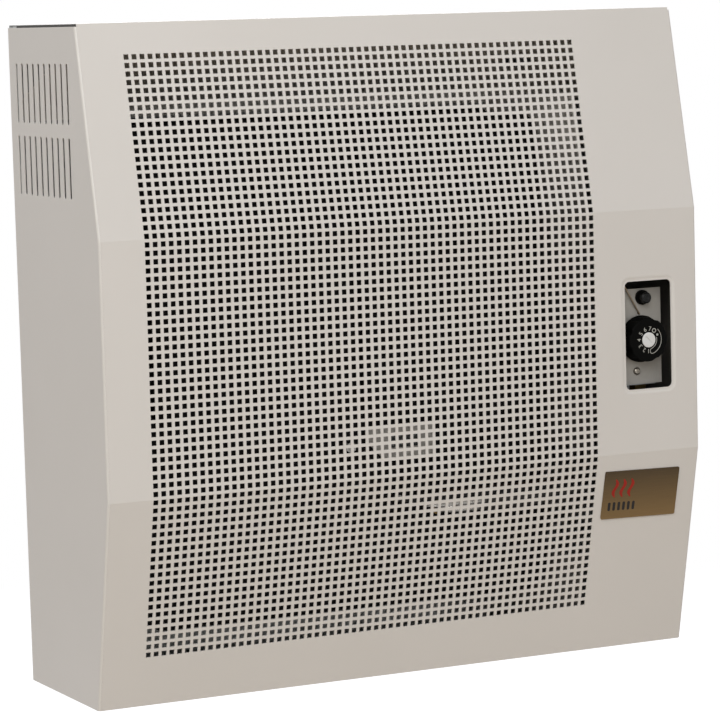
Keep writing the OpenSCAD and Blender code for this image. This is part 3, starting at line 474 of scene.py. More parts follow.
def sight_glass_material():
    """Clear glass, a little smoked by the flame."""
    material, tree, where = start_material("heat_resistant_glass")
    smoke = add_node(tree, "ShaderNodeTexNoise",
                     {"Vector": where, "Scale": 1 / SMOKE_CLOUD, "Detail": 3.0})
    show_tones(tree, smoke.outputs["Fac"], "#b8c2bd", "#e2e8e4",
               {"Roughness": 0.04, "IOR": 1.47, "Transmission Weight": 0.9})
    return material


clear_glass = sight_glass_material()

# %% [markdown]
# ## Working on one mesh
#
# In edit mode the operators act on the selected vertices, edges or faces. By hand they are
# picked with the mouse; here a test of their place or direction picks them, so that a changed
# size still finds the right ones. A piece is opened with nothing else selected.

# %% Select and edit
SLACK = 0.02 * MM    # within which two places count as the same


def select_only(piece):
    bpy.ops.object.select_all(action="DESELECT")
    piece.select_set(True)
    bpy.context.view_layer.objects.active = piece


def select_mesh():
    bpy.ops.mesh.select_all(action="SELECT")


def edit(piece):
    """Open one piece in edit mode with nothing else selected."""
    select_only(piece)
    bpy.ops.object.mode_set(mode="EDIT")


def edit_all(piece):
    """Open one piece in edit mode with its whole mesh selected."""
    edit(piece)
    select_mesh()


def leave_edit():
    bpy.ops.object.mode_set(mode="OBJECT")


# %% Pick and pull


def pick(kind, test):
    """Select only the vertices, edges or faces that pass a test, and return how many did."""
    bpy.ops.mesh.select_mode(type=kind)
    bpy.ops.mesh.select_all(action="DESELECT")
    data = bpy.context.edit_object.data
    mesh = bmesh.from_edit_mesh(data)
    parts = {"VERT": mesh.verts, "EDGE": mesh.edges, "FACE": mesh.faces}[kind]
    chosen = [part for part in parts if test(part)]
    for part in chosen:
        part.select_set(True)
    mesh.select_flush_mode()
    bmesh.update_edit_mesh(data)
    return len(chosen)


def near(a, b):
    return abs(a - b) < SLACK


def ends_at(edge, axis, value):
    """True if both ends of an edge lie at one value of an axis."""
    return all(near(vert.co[axis], value) for vert in edge.verts)


def pull_edges(x=0, y=0, z=0):
    """Extrude the selected edges into new faces."""
    bpy.ops.mesh.extrude_edges_move(TRANSFORM_OT_translate={"value": (x, y, z)})


# %% [markdown]
# ## Sizes read from the frame
#
# The front's folds are measured on the frame's own front panel: the points that lie furthest
# forward belong to the upright middle face, so their lowest and highest are the two folds.

# %% Sizes of the casing
front_low, front_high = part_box("front_panel")
side_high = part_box("side_panel_right")[1]
SHEET = 1.0 * MM
LAP = 14 * MM    # width of the flanges behind the front
STEP_W, STEP_BACK = 0.3 * MM, 1.05 * SHEET    # the step of the sides' flanges behind the front
CUT_EDGE = 0.15 * MM    # rounding of the sheets' cut edges
half_w = side_high.x
bend = half_w - front_high.x
face_y = front_low.y
side_top = side_high.z
upright = [v.co.z for v in nodes["front_panel"].data.vertices if near(v.co.y, face_y)]
fold_low = min(upright)
fold_high = max(upright)
crest_y = min(v.co.y for v in nodes["front_panel"].data.vertices if near(v.co.z, front_high.z))
slope = math.atan2(crest_y - face_y, front_high.z - fold_high)
UPPER_FOLD = (0, face_y, fold_high)
LOWER_FOLD = (0, face_y, fold_low)
print(f"folds at {fold_low / MM:.1f} and {fold_high / MM:.1f} mm, "
      f"slope {math.degrees(slope):.2f} degrees, bend {bend / MM:.1f} mm")


def lean_back(height):
    """How far behind the middle face the front lies at a height."""
    beyond = max(height - fold_high, fold_low - height, 0)
    return beyond * math.tan(slope)


# %% [markdown]
# ## The perforated front
#
# On the real heater this is one sheet: punched flat, then folded. It is made the same way
# here. One cell of the pattern is a plane with an inset hole, two arrays repeat it over the
# field of 60 by 72 holes, and edge extrusions add the plain margins. The sheet stays flat
# until the control opening is in it, and only then is it folded along two bisected lines.

# %% Apply a modifier, repeat a piece


def add_modifier(piece, kind, **settings):
    """Give a piece a modifier and apply it at once."""
    bpy.context.view_layer.objects.active = piece
    modifier = piece.modifiers.new(kind, kind)
    for name, value in settings.items():
        setattr(modifier, name, value)
    bpy.ops.object.modifier_apply(modifier=modifier.name)


def repeat(piece, count, step, merge=False):
    """Repeat a piece in a row, with an applied Array modifier."""
    add_modifier(piece, "ARRAY", count=count, use_relative_offset=False,
                 use_constant_offset=True, constant_offset_displace=step,
                 use_merge_vertices=merge, merge_threshold=SLACK)


# %% Punch the field of holes
TO_FRONT = (math.pi / 2, 0, 0)    # stands a primitive upright, with its axis along Y
HOLE_PITCH = 8 * MM
HOLE_SIDE = 5 * MM
COLUMNS = 60
ROWS = 72
FIELD_LEFT = -276 * MM
FIELD_TOP_ABOVE_FOLD = 175 * MM

field_right = FIELD_LEFT + COLUMNS * HOLE_PITCH
field_top = fold_high + FIELD_TOP_ABOVE_FOLD
field_bottom = field_top - ROWS * HOLE_PITCH
flat_top = fold_high + (front_high.z - fold_high) / math.cos(slope)
flat_bottom = fold_low - (fold_low - front_low.z) / math.cos(slope)

front = start_piece("front_sheet", bpy.ops.mesh.primitive_plane_add, size=HOLE_PITCH,
                    rotation=TO_FRONT,
                    location=(FIELD_LEFT + HOLE_PITCH / 2, face_y, field_bottom + HOLE_PITCH / 2))
edit_all(front)
bpy.ops.mesh.inset(thickness=(HOLE_PITCH - HOLE_SIDE) / 2)
bpy.ops.mesh.delete(type="FACE")
leave_edit()
repeat(front, COLUMNS, (HOLE_PITCH, 0, 0), merge=True)
repeat(front, ROWS, (0, 0, HOLE_PITCH), merge=True)
print("holes:", COLUMNS * ROWS, "faces:", len(front.data.polygons))

# %% Add the plain margins
X, Y, Z = 0, 1, 2
WINDOW_RIGHT = 300 * MM    # right end of the part of the margin that takes the opening
edit(front)
pick("EDGE", lambda edge: ends_at(edge, X, FIELD_LEFT))
pull_edges(x=front_low.x - FIELD_LEFT)
pick("EDGE", lambda edge: ends_at(edge, X, field_right))
pull_edges(x=WINDOW_RIGHT - field_right)
pick("EDGE", lambda edge: ends_at(edge, X, WINDOW_RIGHT))
pull_edges(x=front_high.x - WINDOW_RIGHT)
pick("EDGE", lambda edge: ends_at(edge, Z, field_top))
pull_edges(z=flat_top - field_top)
pick("EDGE", lambda edge: ends_at(edge, Z, field_bottom))
pull_edges(z=flat_bottom - field_bottom)

# %% [markdown]
# ## The control opening
#
# The opening has a pressed border, a shallow step 5 mm wide with soft rounded shoulders.
# A plane with bevelled corners makes its outline, insets that also push back make the step,
# and a fill joins the outline to the window that was cleared for it in the margin.

# %% Cut and press the opening
OPENING_W = 53 * MM
OPENING_H = 108 * MM
OPENING_R = 5 * MM
OPENING_X = 263.5 * MM
OPENING_Z = 319.4 * MM
BORDER = 5 * MM
BORDER_DEPTH = 0.7 * MM
SHOULDER = 1.2 * MM
SHOULDER_DEPTHS = (0.2, 0.6, 0.2)    # shares of the border's depth, so the shoulders are soft
CLEARED = 1.1 * HOLE_PITCH    # how far the cleared window reaches past the border

window_half = OPENING_H / 2 + BORDER + CLEARED


def in_window(point, half=window_half):
    return (field_right - SLACK < point.x < WINDOW_RIGHT + SLACK
            and abs(point.z - OPENING_Z) < half)


cleared = pick("FACE", lambda face: in_window(face.calc_center_median()))
bpy.ops.mesh.delete(type="FACE")

bpy.ops.mesh.primitive_plane_add(size=1, rotation=TO_FRONT,
                                 location=(OPENING_X, face_y, OPENING_Z))
bpy.ops.transform.resize(value=(OPENING_W + 2 * BORDER, 1, OPENING_H + 2 * BORDER),
                         center_override=(OPENING_X, face_y, OPENING_Z))
bpy.ops.mesh.bevel(offset=OPENING_R + BORDER, segments=10, affect="VERTICES")
for share in SHOULDER_DEPTHS:
    bpy.ops.mesh.inset(thickness=SHOULDER, depth=-BORDER_DEPTH * share)
bpy.ops.mesh.inset(thickness=BORDER - 3 * SHOULDER)
bpy.ops.mesh.delete(type="FACE")


def window_edge(edge):
    """True on the loose edges round the cleared window and round the pressed border."""
    middle = (edge.verts[0].co + edge.verts[1].co) / 2
    level = all(near(vert.co.y, face_y) for vert in edge.verts)
    return edge.is_boundary and level and in_window(middle, window_half + HOLE_PITCH)


print("faces cleared:", cleared, "edges round the window:", pick("EDGE", window_edge))
bpy.ops.mesh.fill(use_beauty=True)
leave_edit()

# %% [markdown]
# ## Fold the sheet and give it its thickness
#
# Bisecting adds an edge at each fold line, which runs between two rows of holes. Everything
# beyond the line is then turned about it. Solidify gives the folded sheet its 1 mm, inwards,
# so its outside stays where the frame has it.

# %% Turn, bisect and measure


def turn(degrees, axis, centre):
    """Turn what is selected, right-handed. With no window the operator turns the other way."""
    bpy.ops.transform.rotate(value=-math.radians(degrees), orient_axis=axis,
                             orient_type="GLOBAL", center_override=centre)


def face_outwards():
    """Turn all faces of the edited mesh the same way, which is outwards on a closed one."""
    select_mesh()
    bpy.ops.mesh.normals_make_consistent(inside=False)


def bisect_at_folds():
    """Add an edge to the edited mesh at the height of each fold."""
    for height in (fold_low, fold_high):
        select_mesh()
        bpy.ops.mesh.bisect(plane_co=(0, 0, height), plane_no=(0, 0, 1))


def volume_of(piece):
    mesh = bmesh.new()
    mesh.from_mesh(piece.data)
    volume = mesh.calc_volume(signed=True)
    mesh.free()
    return volume


# %% Fold the front
edit(front)
bisect_at_folds()
pick("VERT", lambda vert: vert.co.z > fold_high + SLACK)
turn(-math.degrees(slope), "X", UPPER_FOLD)
pick("VERT", lambda vert: vert.co.z < fold_low - SLACK)
turn(math.degrees(slope), "X", LOWER_FOLD)
face_outwards()
if bmesh.from_edit_mesh(front.data).faces[0].normal.y > 0:
    bpy.ops.mesh.flip_normals()
leave_edit()
add_modifier(front, "SOLIDIFY", thickness=SHEET, offset=-1, use_even_offset=True)
top_edge = max((v.co for v in front.data.vertices), key=lambda co: co.z)
print(f"top edge at y {top_edge.y / MM:.2f}, z {top_edge.z / MM:.2f} mm; "
      f"volume {volume_of(front) * 1e6:.1f} cm3")

# %% [markdown]
# ## Flanges of the front
#
# At the top and the bottom the real sheet is folded back once more, which stiffens it and
# gives the screws something to hold. Each flange is a strip just behind the front's edge.
# That completes the front, so it gets its finish and the body that it belongs to.

# %% Push, and finish a piece


def push(x=0, y=0, z=0):
    bpy.ops.transform.translate(value=(x, y, z))


def finish_piece(piece, body, slot, materials, *replaced):
    """Give a finished piece its body, the nodes it stands for and any new materials. The slot is
    not used.
    """
    if materials:
        piece.data.materials.clear()
    for material in materials:
        piece.data.materials.append(material)
    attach(piece, body)
    if replaced:
        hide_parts(*replaced)
    low, high = (Vector(map(f, zip(*(v.co for v in piece.data.vertices)))) for f in (min, max))
    corners = [[round(value / MM, 1) for value in corner] for corner in (low, high)]
    print(f"{piece.name}: {len(piece.data.polygons)} faces, from {corners[0]} to {corners[1]} mm")


# %% Flanges
FLANGE_BEHIND = 0.6 * SHEET
edit(front)
for flange_top in (front_high.z - SHEET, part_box("base_tray")[0].z):
    front_edge = face_y + lean_back(flange_top) + FLANGE_BEHIND
    bpy.ops.mesh.primitive_cube_add(size=1)
    middle = (0, front_edge + LAP / 2, flange_top - SHEET / 2)
    width = 2 * (half_w - bend - LAP - STEP_W)
    bpy.ops.transform.resize(value=(width, LAP, SHEET), center_override=(0, 0, 0))
    push(*middle)
    bpy.ops.mesh.bevel(offset=CUT_EDGE, segments=2, affect="EDGES")
leave_edit()
finish_piece(front, "heater", "enamel_cream", [cream_coat], "front_panel")

# %% [markdown]
# ## The side sheets
#
# A side is one sheet too: a flat wall, a soft bend of 2.5 mm towards the front and a flange
# that steps back behind the front sheet. The wall starts as a plane, bisected at the folds
# and leant back with the front. The bend is a bevelled corner, so it mitres at the folds by
# itself. The slots are cut after the sheet has its thickness, with a cutter repeated in a
# grid. The inner faces are given a dark grey: a painted shade for the dim inside of the casing.

# %% Shape the right side
SLOT_W = 5 * MM
SLOT_H = 57 * MM
SLOT_PITCH = 14.7 * MM
SLOT_ROW_PITCH = 69 * MM
SLOT_DROP = 65 * MM
FIRST_SLOT = 19.5 * MM
SLOTS = 10
SLOT_ROWS = 2
SLOT_SIDES = 16    # of the round-ended cutter

depth = -face_y
side = start_piece("side_sheet_right", bpy.ops.mesh.primitive_plane_add, size=1,
                   rotation=(math.pi / 2, 0, math.pi / 2),
                   location=(half_w, face_y / 2, side_top / 2), scale=(depth, side_top, 1))
edit(side)
bisect_at_folds()
for height in (0, side_top):
    pick("VERT", lambda vert: near(vert.co.y, face_y) and near(vert.co.z, height))
    push(y=lean_back(height))


def on_front_profile(edge):
    return all(near(v.co.y, face_y + lean_back(v.co.z)) for v in edge.verts)


pick("EDGE", on_front_profile)
pull_edges(x=-3 * bend)
pick("EDGE", lambda edge: on_front_profile(edge) and ends_at(edge, X, half_w))
bpy.ops.mesh.bevel(offset=bend, segments=8, affect="EDGES")
select_mesh()
bpy.ops.mesh.bisect(plane_co=(half_w - bend, 0, 0), plane_no=(1, 0, 0), clear_inner=True)
pick("EDGE", lambda edge: ends_at(edge, X, half_w - bend))
pull_edges(x=-STEP_W, y=STEP_BACK)
pull_edges(x=-LAP)
face_outwards()
wall = max(bmesh.from_edit_mesh(side.data).faces, key=lambda face: face.calc_area())
if wall.normal.x < 0:
    bpy.ops.mesh.flip_normals()
leave_edit()
add_modifier(side, "SOLIDIFY", thickness=SHEET, offset=-1, use_even_offset=True)

# %% Soften and cut


def soften(piece, width, degrees=60):
    """Round the edges that are sharper than an angle."""
    add_modifier(piece, "BEVEL", width=width, segments=2, limit_method="ANGLE",
                 angle_limit=math.radians(degrees))


def cut_with(piece, cutter):
    """Take a cutter away from a piece, and delete the cutter."""
    add_modifier(piece, "BOOLEAN", operation="DIFFERENCE", solver="EXACT", object=cutter)
    bpy.data.objects.remove(cutter, do_unlink=True)


# %% Cut the slots and mirror the sheet
cutter = start_piece("slot_cutter", bpy.ops.mesh.primitive_cylinder_add, vertices=SLOT_SIDES,
                     radius=SLOT_W / 2, depth=4 * SHEET, rotation=(0, math.pi / 2, 0),
                     location=(half_w, -FIRST_SLOT, side_top))
edit_all(cutter)
turn(360 / SLOT_SIDES / 2, "X", (half_w, -FIRST_SLOT, side_top))
slot_middle = front_high.z - SLOT_DROP
push(z=slot_middle - side_top - (SLOT_H - SLOT_W) / 2)
pick("VERT", lambda vert: vert.co.z > slot_middle - (SLOT_H - SLOT_W) / 2)
push(z=SLOT_H - SLOT_W)
leave_edit()
repeat(cutter, SLOTS, (0, -SLOT_PITCH, 0))
repeat(cutter, SLOT_ROWS, (0, 0, -SLOT_ROW_PITCH))
cut_with(side, cutter)
soften(side, CUT_EDGE)

left_side = side.copy()
left_side.data = side.data.copy()
left_side.name = "side_sheet_left"
bpy.context.scene.collection.objects.link(left_side)
left_side.scale = (-1, 1, 1)
select_only(left_side)
apply_place()
edit(left_side)
face_outwards()
leave_edit()
for piece, outward, node in ((side, 1, "side_panel_right"), (left_side, -1, "side_panel_left")):
    print(f"{piece.name}: volume {volume_of(piece) * 1e6:.1f} cm3")
    finish_piece(piece, "heater", "enamel_cream", [cream_coat, inside_shade_grey], node)
    # the inner faces get the dark grey, a painted shade
    for face in piece.data.polygons:
        inside = face.normal.x * outward < -0.5 or face.normal.y > 0.5
        face.material_index = 1 if inside else 0

# %% [markdown]
# ## The top cover
#
# The cover is a shallow tray turned over. Its lips stand in the gap above the sides. All but
# its top face are dark grey, a painted shadow that makes the dark line along the top.

# %% Start a block


def start_block(name, size, middle):
    """Start a piece from a box, round its middle."""
    return start_piece(name, bpy.ops.mesh.primitive_cube_add, size=1, scale=size,
                       location=middle)


# %% Top cover
COVER_EDGE = 0.2 * MM
CLEAR_OF_FRAME = 0.5 * MM
cover_low, cover_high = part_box("top_panel")
lips_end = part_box("back_frame")[0].y - CLEAR_OF_FRAME
cover_size = (cover_high.x - cover_low.x, cover_high.y - cover_low.y, cover_high.z - side_top)
cover = start_block("top_cover", cover_size,
                    (0, (cover_low.y + cover_high.y) / 2, (side_top + cover_high.z) / 2))
edit_all(cover)
bpy.ops.mesh.bisect(plane_co=(0, lips_end, 0), plane_no=(0, 1, 0))
pick("FACE", lambda face: face.normal.z < -0.5 or face.normal.y > 0.5
     or (abs(face.normal.x) > 0.5 and face.calc_center_median().y > lips_end))
bpy.ops.mesh.delete(type="FACE")
leave_edit()
add_modifier(cover, "SOLIDIFY", thickness=SHEET, offset=-1, use_even_offset=True)
soften(cover, COVER_EDGE)
finish_piece(cover, "heater", "enamel_cream", [cream_coat, gap_shadow_grey], "top_panel")
# all faces but the top get the dark grey, a painted shadow
for face in cover.data.polygons:
    face.material_index = 0 if face.normal.z > 0.5 else 1

# %% [markdown]
# ## The control knob
#
# The knob is moulded in one with its skirt. It is built up from a circle: extruded towards
# the front and narrowed step by step, then eight shallow flutes are cut for the fingers. The
# pieces that turn with it ride on the knob's body.

# %% Start a rod, shade it smooth


def start_rod(name, vertices, radius, depth, middle):
    """Start a piece from a cylinder along Y, round its middle."""
    return start_piece(name, bpy.ops.mesh.primitive_cylinder_add, vertices=vertices,
                       radius=radius, depth=depth, rotation=TO_FRONT, location=middle)


def smooth(piece, degrees):
    """Shade a piece smooth, but keep the edges that are sharper than an angle."""
    select_only(piece)
    bpy.ops.object.shade_smooth_by_angle(angle=math.radians(degrees))


# %% Knob
knob_low, knob_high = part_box("control_knob")
knob_x = (knob_low.x + knob_high.x) / 2
knob_z = (knob_low.z + knob_high.z) / 2
knob_face = knob_low.y
SKIRT_R = (knob_high.x - knob_low.x) / 2
KNOB_R = 22 * MM
SKIRT_H = 2.5 * MM
SKIRT_EDGE = 0.4 * MM
NECK_RISE, NECK_OUT = 1.2 * MM, 0.4 * MM    # the slope from the skirt up to the grip
SHOULDER_ARC = ((2.2, 0), (1.2, 0.25), (0.5, 0.8), (0.1, 1.6), (0, 2.4))    # mm down and in
DIAL_R = 9 * MM    # the flat middle of the face
FLUTES = 8
FLUTE_R = 8 * MM
FLUTE_OUT = 6.5 * MM    # from the grip's edge out to a flute's axis
FLUTE_FOOT = 1.4 * MM    # from the skirt up to a flute's end
knob_depth = knob_high.y - knob_face
knob_steps = [
    (0, SKIRT_R - SKIRT_EDGE), (SKIRT_EDGE, SKIRT_R), (SKIRT_H - SKIRT_EDGE, SKIRT_R),
    (SKIRT_H, SKIRT_R - SKIRT_EDGE), (SKIRT_H + NECK_RISE, KNOB_R + NECK_OUT),
]
knob_steps += [(knob_depth - down * MM, KNOB_R - inwards * MM) for down, inwards in SHOULDER_ARC]

knob = start_piece("knob_body", bpy.ops.mesh.primitive_circle_add, vertices=96,
                   radius=knob_steps[0][1], fill_type="NGON",
                   rotation=TO_FRONT, location=(knob_x, knob_high.y, knob_z))
edit_all(knob)
for (rise_before, radius_before), (rise, radius) in zip(knob_steps, knob_steps[1:]):
    bpy.ops.mesh.extrude_region_move(
        TRANSFORM_OT_translate={"value": (0, rise_before - rise, 0)})
    ratio = radius / radius_before
    bpy.ops.transform.resize(value=(ratio, 1, ratio),
                             center_override=(knob_x, knob_high.y, knob_z))
bpy.ops.mesh.inset(thickness=knob_steps[-1][1] - DIAL_R)
face_outwards()
leave_edit()

flute = start_rod("flute_cutter", 48, FLUTE_R, knob_depth,
                  (knob_x + KNOB_R + FLUTE_OUT,
                   knob_high.y - SKIRT_H - FLUTE_FOOT - knob_depth / 2, knob_z))
edit_all(flute)
turn(360 / FLUTES / 2, "Y", (knob_x, 0, knob_z))
for _ in range(FLUTES - 1):
    bpy.ops.mesh.duplicate()
    turn(360 / FLUTES, "Y", (knob_x, 0, knob_z))
leave_edit()
cut_with(knob, flute)

# %% Hollow behind the knob, and its cap seat
GRIP_WALL = 4 * MM
FACE_WALL = 3 * MM
CAP_PLAY = 0.1 * MM
KNOB_EDGE = 0.2 * MM
hollow = start_rod("hollow_cutter", 64, KNOB_R - GRIP_WALL, 2 * (knob_depth - FACE_WALL),
                   (knob_x, knob_high.y, knob_z))
cut_with(knob, hollow)
cap_low, cap_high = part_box("knob_cap")
CAP_R = (cap_high.x - cap_low.x) / 2
seat = start_rod("seat_cutter", 64, CAP_R + CAP_PLAY, 2 * (cap_high.y - knob_face),
                 (knob_x, knob_face, knob_z))
cut_with(knob, seat)
soften(knob, KNOB_EDGE, 40)
smooth(knob, 30)
finish_piece(knob, "knob", "black_plastic", [black_abs], "control_knob")

# %% [markdown]
# ## The knob's cap
#
# A pale disc covers the spindle's end. It has a rounded rim and a short slanted slot.

# %% Cap
CAP_RIM = 0.35 * MM
CAP_EDGE = 0.12 * MM
SLIT = (9.5 * MM, 2.0 * MM, 1.3 * MM)
SLIT_TURN = 45
cap = start_rod("knob_disc", 64, CAP_R, cap_high.y - cap_low.y,
                (knob_x, (cap_low.y + cap_high.y) / 2, knob_z))
edit(cap)
pick("EDGE", lambda edge: ends_at(edge, Y, cap_low.y))
bpy.ops.mesh.bevel(offset=CAP_RIM, segments=3, affect="EDGES")
leave_edit()
slit = start_block("slit_cutter", SLIT, (knob_x, cap_low.y, knob_z))
edit_all(slit)
turn(SLIT_TURN, "Y", (knob_x, 0, knob_z))
leave_edit()
cut_with(cap, slit)
soften(cap, CAP_EDGE, 40)
smooth(cap, 30)
finish_piece(cap, "knob", "pale_plastic", [pale_abs], "knob_cap")

# %% [markdown]
# ## Marks on the knob
#
# The scale is printed on the knob's face in white: 7 to 1 from the top round to the foot, a
# ring for off, a dot for ignition and the outline of a crescent on the right. The figures
# are text turned into mesh, a tenth of a millimetre proud, each with its head outwards.

# %% Marks
INK = 0.12 * MM
FIGURE_H = 4.4 * MM
FIGURE_SHARE = 0.72    # of a font's size, which is the height of its figures
FIGURE_R = 11.0 * MM
FIGURES = {"7": 8, "6": -22, "5": -54, "4": -87, "3": -120, "2": -151, "1": -177}
RING_AT, DOT_AT = 35, 65
RING_R, RING_LINE = 1.9 * MM, 0.42 * MM
DOT_R = 1.2 * MM
CRESCENT_OUT_FROM, CRESCENT_IN_FROM, CRESCENT_TO = 46, 74, 160
CRESCENT_LINE = 0.32 * MM
CRESCENT_OUT, CRESCENT_IN = 14.6 * MM, 9.3 * MM


def on_dial(clockwise, radius):
    """A point on the knob's face, by its clock angle and radius."""
    angle = math.radians(clockwise)
    return Vector((knob_x + radius * math.sin(angle), knob_face, knob_z + radius * math.cos(angle)))


def to_mesh(piece):
    select_only(piece)
    bpy.ops.object.convert(target="MESH")
    apply_place()
    return bpy.context.object


marks = []
for figure, clockwise in FIGURES.items():
    bpy.ops.object.select_all(action="DESELECT")
    bpy.ops.object.text_add(location=on_dial(clockwise, FIGURE_R))
    text = bpy.context.object
    text.data.body = figure
    text.data.size = FIGURE_H / FIGURE_SHARE
    text.data.align_x = "CENTER"
    text.data.align_y = "CENTER"
    text.data.extrude = INK
    text.rotation_euler = (math.pi / 2, math.radians(clockwise), 0)
    marks.append(to_mesh(text))

ring = start_piece("off_ring", bpy.ops.mesh.primitive_torus_add, major_radius=RING_R,
                   minor_radius=RING_LINE, major_segments=32, minor_segments=8,
                   rotation=TO_FRONT, location=on_dial(RING_AT, FIGURE_R))
dot = start_piece("ignition_dot", bpy.ops.mesh.primitive_uv_sphere_add, radius=DOT_R,
                  segments=24, ring_count=12, location=on_dial(DOT_AT, FIGURE_R))


def flatten(mark, half_thickness):
    """Press a round mark flat on the knob's face, to the ink's thickness."""
    edit_all(mark)
    bpy.ops.transform.resize(value=(1, INK / half_thickness, 1), center_override=(0, knob_face, 0))
    leave_edit()
    marks.append(mark)


flatten(ring, RING_LINE)
flatten(dot, DOT_R)

# %% Join pieces


def join(target, *others):
    bpy.ops.object.select_all(action="DESELECT")
    for other in others:
        other.select_set(True)
    target.select_set(True)
    bpy.context.view_layer.objects.active = target
    bpy.ops.object.join()


# %% Crescent
ARC_STEP = 4
END_STEPS = 8
outline = [on_dial(angle, CRESCENT_OUT)
           for angle in range(CRESCENT_OUT_FROM, CRESCENT_TO + 1, ARC_STEP)]
middle_r = (CRESCENT_OUT + CRESCENT_IN) / 2
round_r = (CRESCENT_OUT - CRESCENT_IN) / 2
for step in range(1, END_STEPS):
    swing = math.pi * step / END_STEPS
    past = math.degrees(round_r * math.sin(swing) / middle_r)
    outline.append(on_dial(CRESCENT_TO + past, middle_r + round_r * math.cos(swing)))
outline += [on_dial(angle, CRESCENT_IN)
            for angle in range(CRESCENT_TO, CRESCENT_IN_FROM, -ARC_STEP)]
bpy.ops.curve.primitive_nurbs_path_add()
crescent = bpy.context.object
crescent.location = (0, 0, 0)
crescent.data.splines.clear()
line = crescent.data.splines.new("POLY")
line.points.add(len(outline) - 1)
for point, place in zip(line.points, outline):
    point.co = (*place, 1)
crescent.data.bevel_depth = CRESCENT_LINE
crescent.data.bevel_resolution = 2
crescent.data.use_fill_caps = True
flatten(to_mesh(crescent), CRESCENT_LINE)
join(*marks)
scale_marks = bpy.context.object
scale_marks.name = "knob_marks"
finish_piece(scale_marks, "knob", "pale_plastic", [marking_ink])

# %% [markdown]
# ## The badge
#
# A small plate of anodised brass sits on the lower face, dark brown at the top and fading to
# old gold at the foot, so its colour follows the height. A plain sign for a heater is printed
# at its left, a little proud: three red heat waves over a row of black fins. The plate is
# modelled upright below the fold, given the small tilt with which it was stuck on, and then
# turned about the fold, just as the sheet that carries it was.

# %% Badge finish
BADGE_W = 86 * MM
BADGE_H = 50 * MM
BADGE_T = 1.2 * MM
BADGE_X = 255 * MM
BADGE_DROP = 43 * MM
BADGE_TILT = 1.3    # degrees, clockwise from the front
BADGE_CORNER = 1.5 * MM
BADGE_RIM = ((0.25, 0.2), (1.1, 0), (0.25, -0.25))    # mm inwards and proud, step by step
BRUSH_LENGTH, BRUSH_WIDTH = 30 * MM, 1 * MM
BRUSH_DRIFT, BRUSH_START = 0.25, -0.12    # how far the brushing shifts the fade, and from where


def anodised_badge():
    """Brushed brass whose colour fades with height over the badge."""
    material, tree, where = start_material("anodised_badge_brass")
    height = add_node(tree, "ShaderNodeSeparateXYZ", {0: where})
    middle_z = fold_low - BADGE_DROP * math.cos(slope)
    fade = add_node(tree, "ShaderNodeMapRange",
                    {0: height.outputs["Z"], 1: middle_z - BADGE_H / 2, 2: middle_z + BADGE_H / 2})
    brushed = add_node(tree, "ShaderNodeMapping",
                       {0: where, "Scale": (1 / BRUSH_LENGTH, 1 / BRUSH_WIDTH, 1 / BRUSH_WIDTH)})
    lines = add_node(tree, "ShaderNodeTexNoise", {"Vector": brushed.outputs[0], "Scale": 1.0,
                                                 "Detail": 3.0})
    drift = add_node(tree, "ShaderNodeMath", {0: lines.outputs["Fac"], 1: BRUSH_DRIFT,
                                             2: BRUSH_START}, operation="MULTIPLY_ADD")
    place = add_node(tree, "ShaderNodeMath", {0: fade.outputs[0], 1: drift.outputs[0]},
                     operation="ADD", use_clamp=True)
    show_tones(tree, place.outputs[0], "#775f3b", "#42331d",
               {"Metallic": 0.15, "Roughness": 0.5, "Specular IOR Level": 0.25})
    return material


badge_brass = anodised_badge()
red_print = moulded("red_print", "#8c1f14", "#9a2618", 0.45, 2 * MM, 0.01 * MM, 0.2)
black_print = moulded("black_print", "#161310", "#1f1b17", 0.45, 2 * MM, 0.01 * MM, 0.2)

# %% Badge plate
badge_z = fold_low - BADGE_DROP
badge = start_piece("badge_plate", bpy.ops.mesh.primitive_plane_add, size=1,
                    rotation=TO_FRONT, scale=(BADGE_W, BADGE_H, 1),
                    location=(BADGE_X, face_y, badge_z))
edit_all(badge)
bpy.ops.mesh.bevel(offset=BADGE_CORNER, segments=5, affect="VERTICES")
bpy.ops.mesh.extrude_region_move(TRANSFORM_OT_translate={"value": (0, -BADGE_T, 0)})
for inwards, proud in BADGE_RIM:
    bpy.ops.mesh.inset(thickness=inwards * MM, depth=proud * MM)
face_outwards()
leave_edit()
badge.data.materials.append(badge_brass)

# %% Waves and fins
PRINT_T = 0.3 * MM
PRINT_SUNK = 0.1 * MM
SIGN_LEFT = 21 * MM    # from the badge's middle to the sign's
WAVES, WAVE_GAP = 3, 9 * MM
WAVE_W, WAVE_H = 3.6 * MM, 19 * MM
WAVE_SWING = 2.0 * MM
WAVE_TAPER = 0.75
WAVE_CUTS = 24
FINS, FIN_GAP = 6, 5.6 * MM
FIN_W, FIN_H = 3.0 * MM, 9 * MM
FIN_CORNER = 0.45 * FIN_W
WAVES_UP, FINS_DOWN = 7 * MM, 12 * MM
print_y = face_y - BADGE_T + PRINT_SUNK
prints = []


def printed_strip(name, x, z, width, height, finish):
    """A thin upright strip on the badge, with rounded ends."""
    strip = start_piece(name, bpy.ops.mesh.primitive_plane_add, size=1,
                        rotation=TO_FRONT, scale=(width, height, 1),
                        location=(x, print_y, z))
    strip.data.materials.append(finish)
    prints.append(strip)
    return strip


def along_sign(i, count, gap):
    """Where one of a row of prints stands, with the row centred on the sign."""
    return BADGE_X - SIGN_LEFT + (i - (count - 1) / 2) * gap


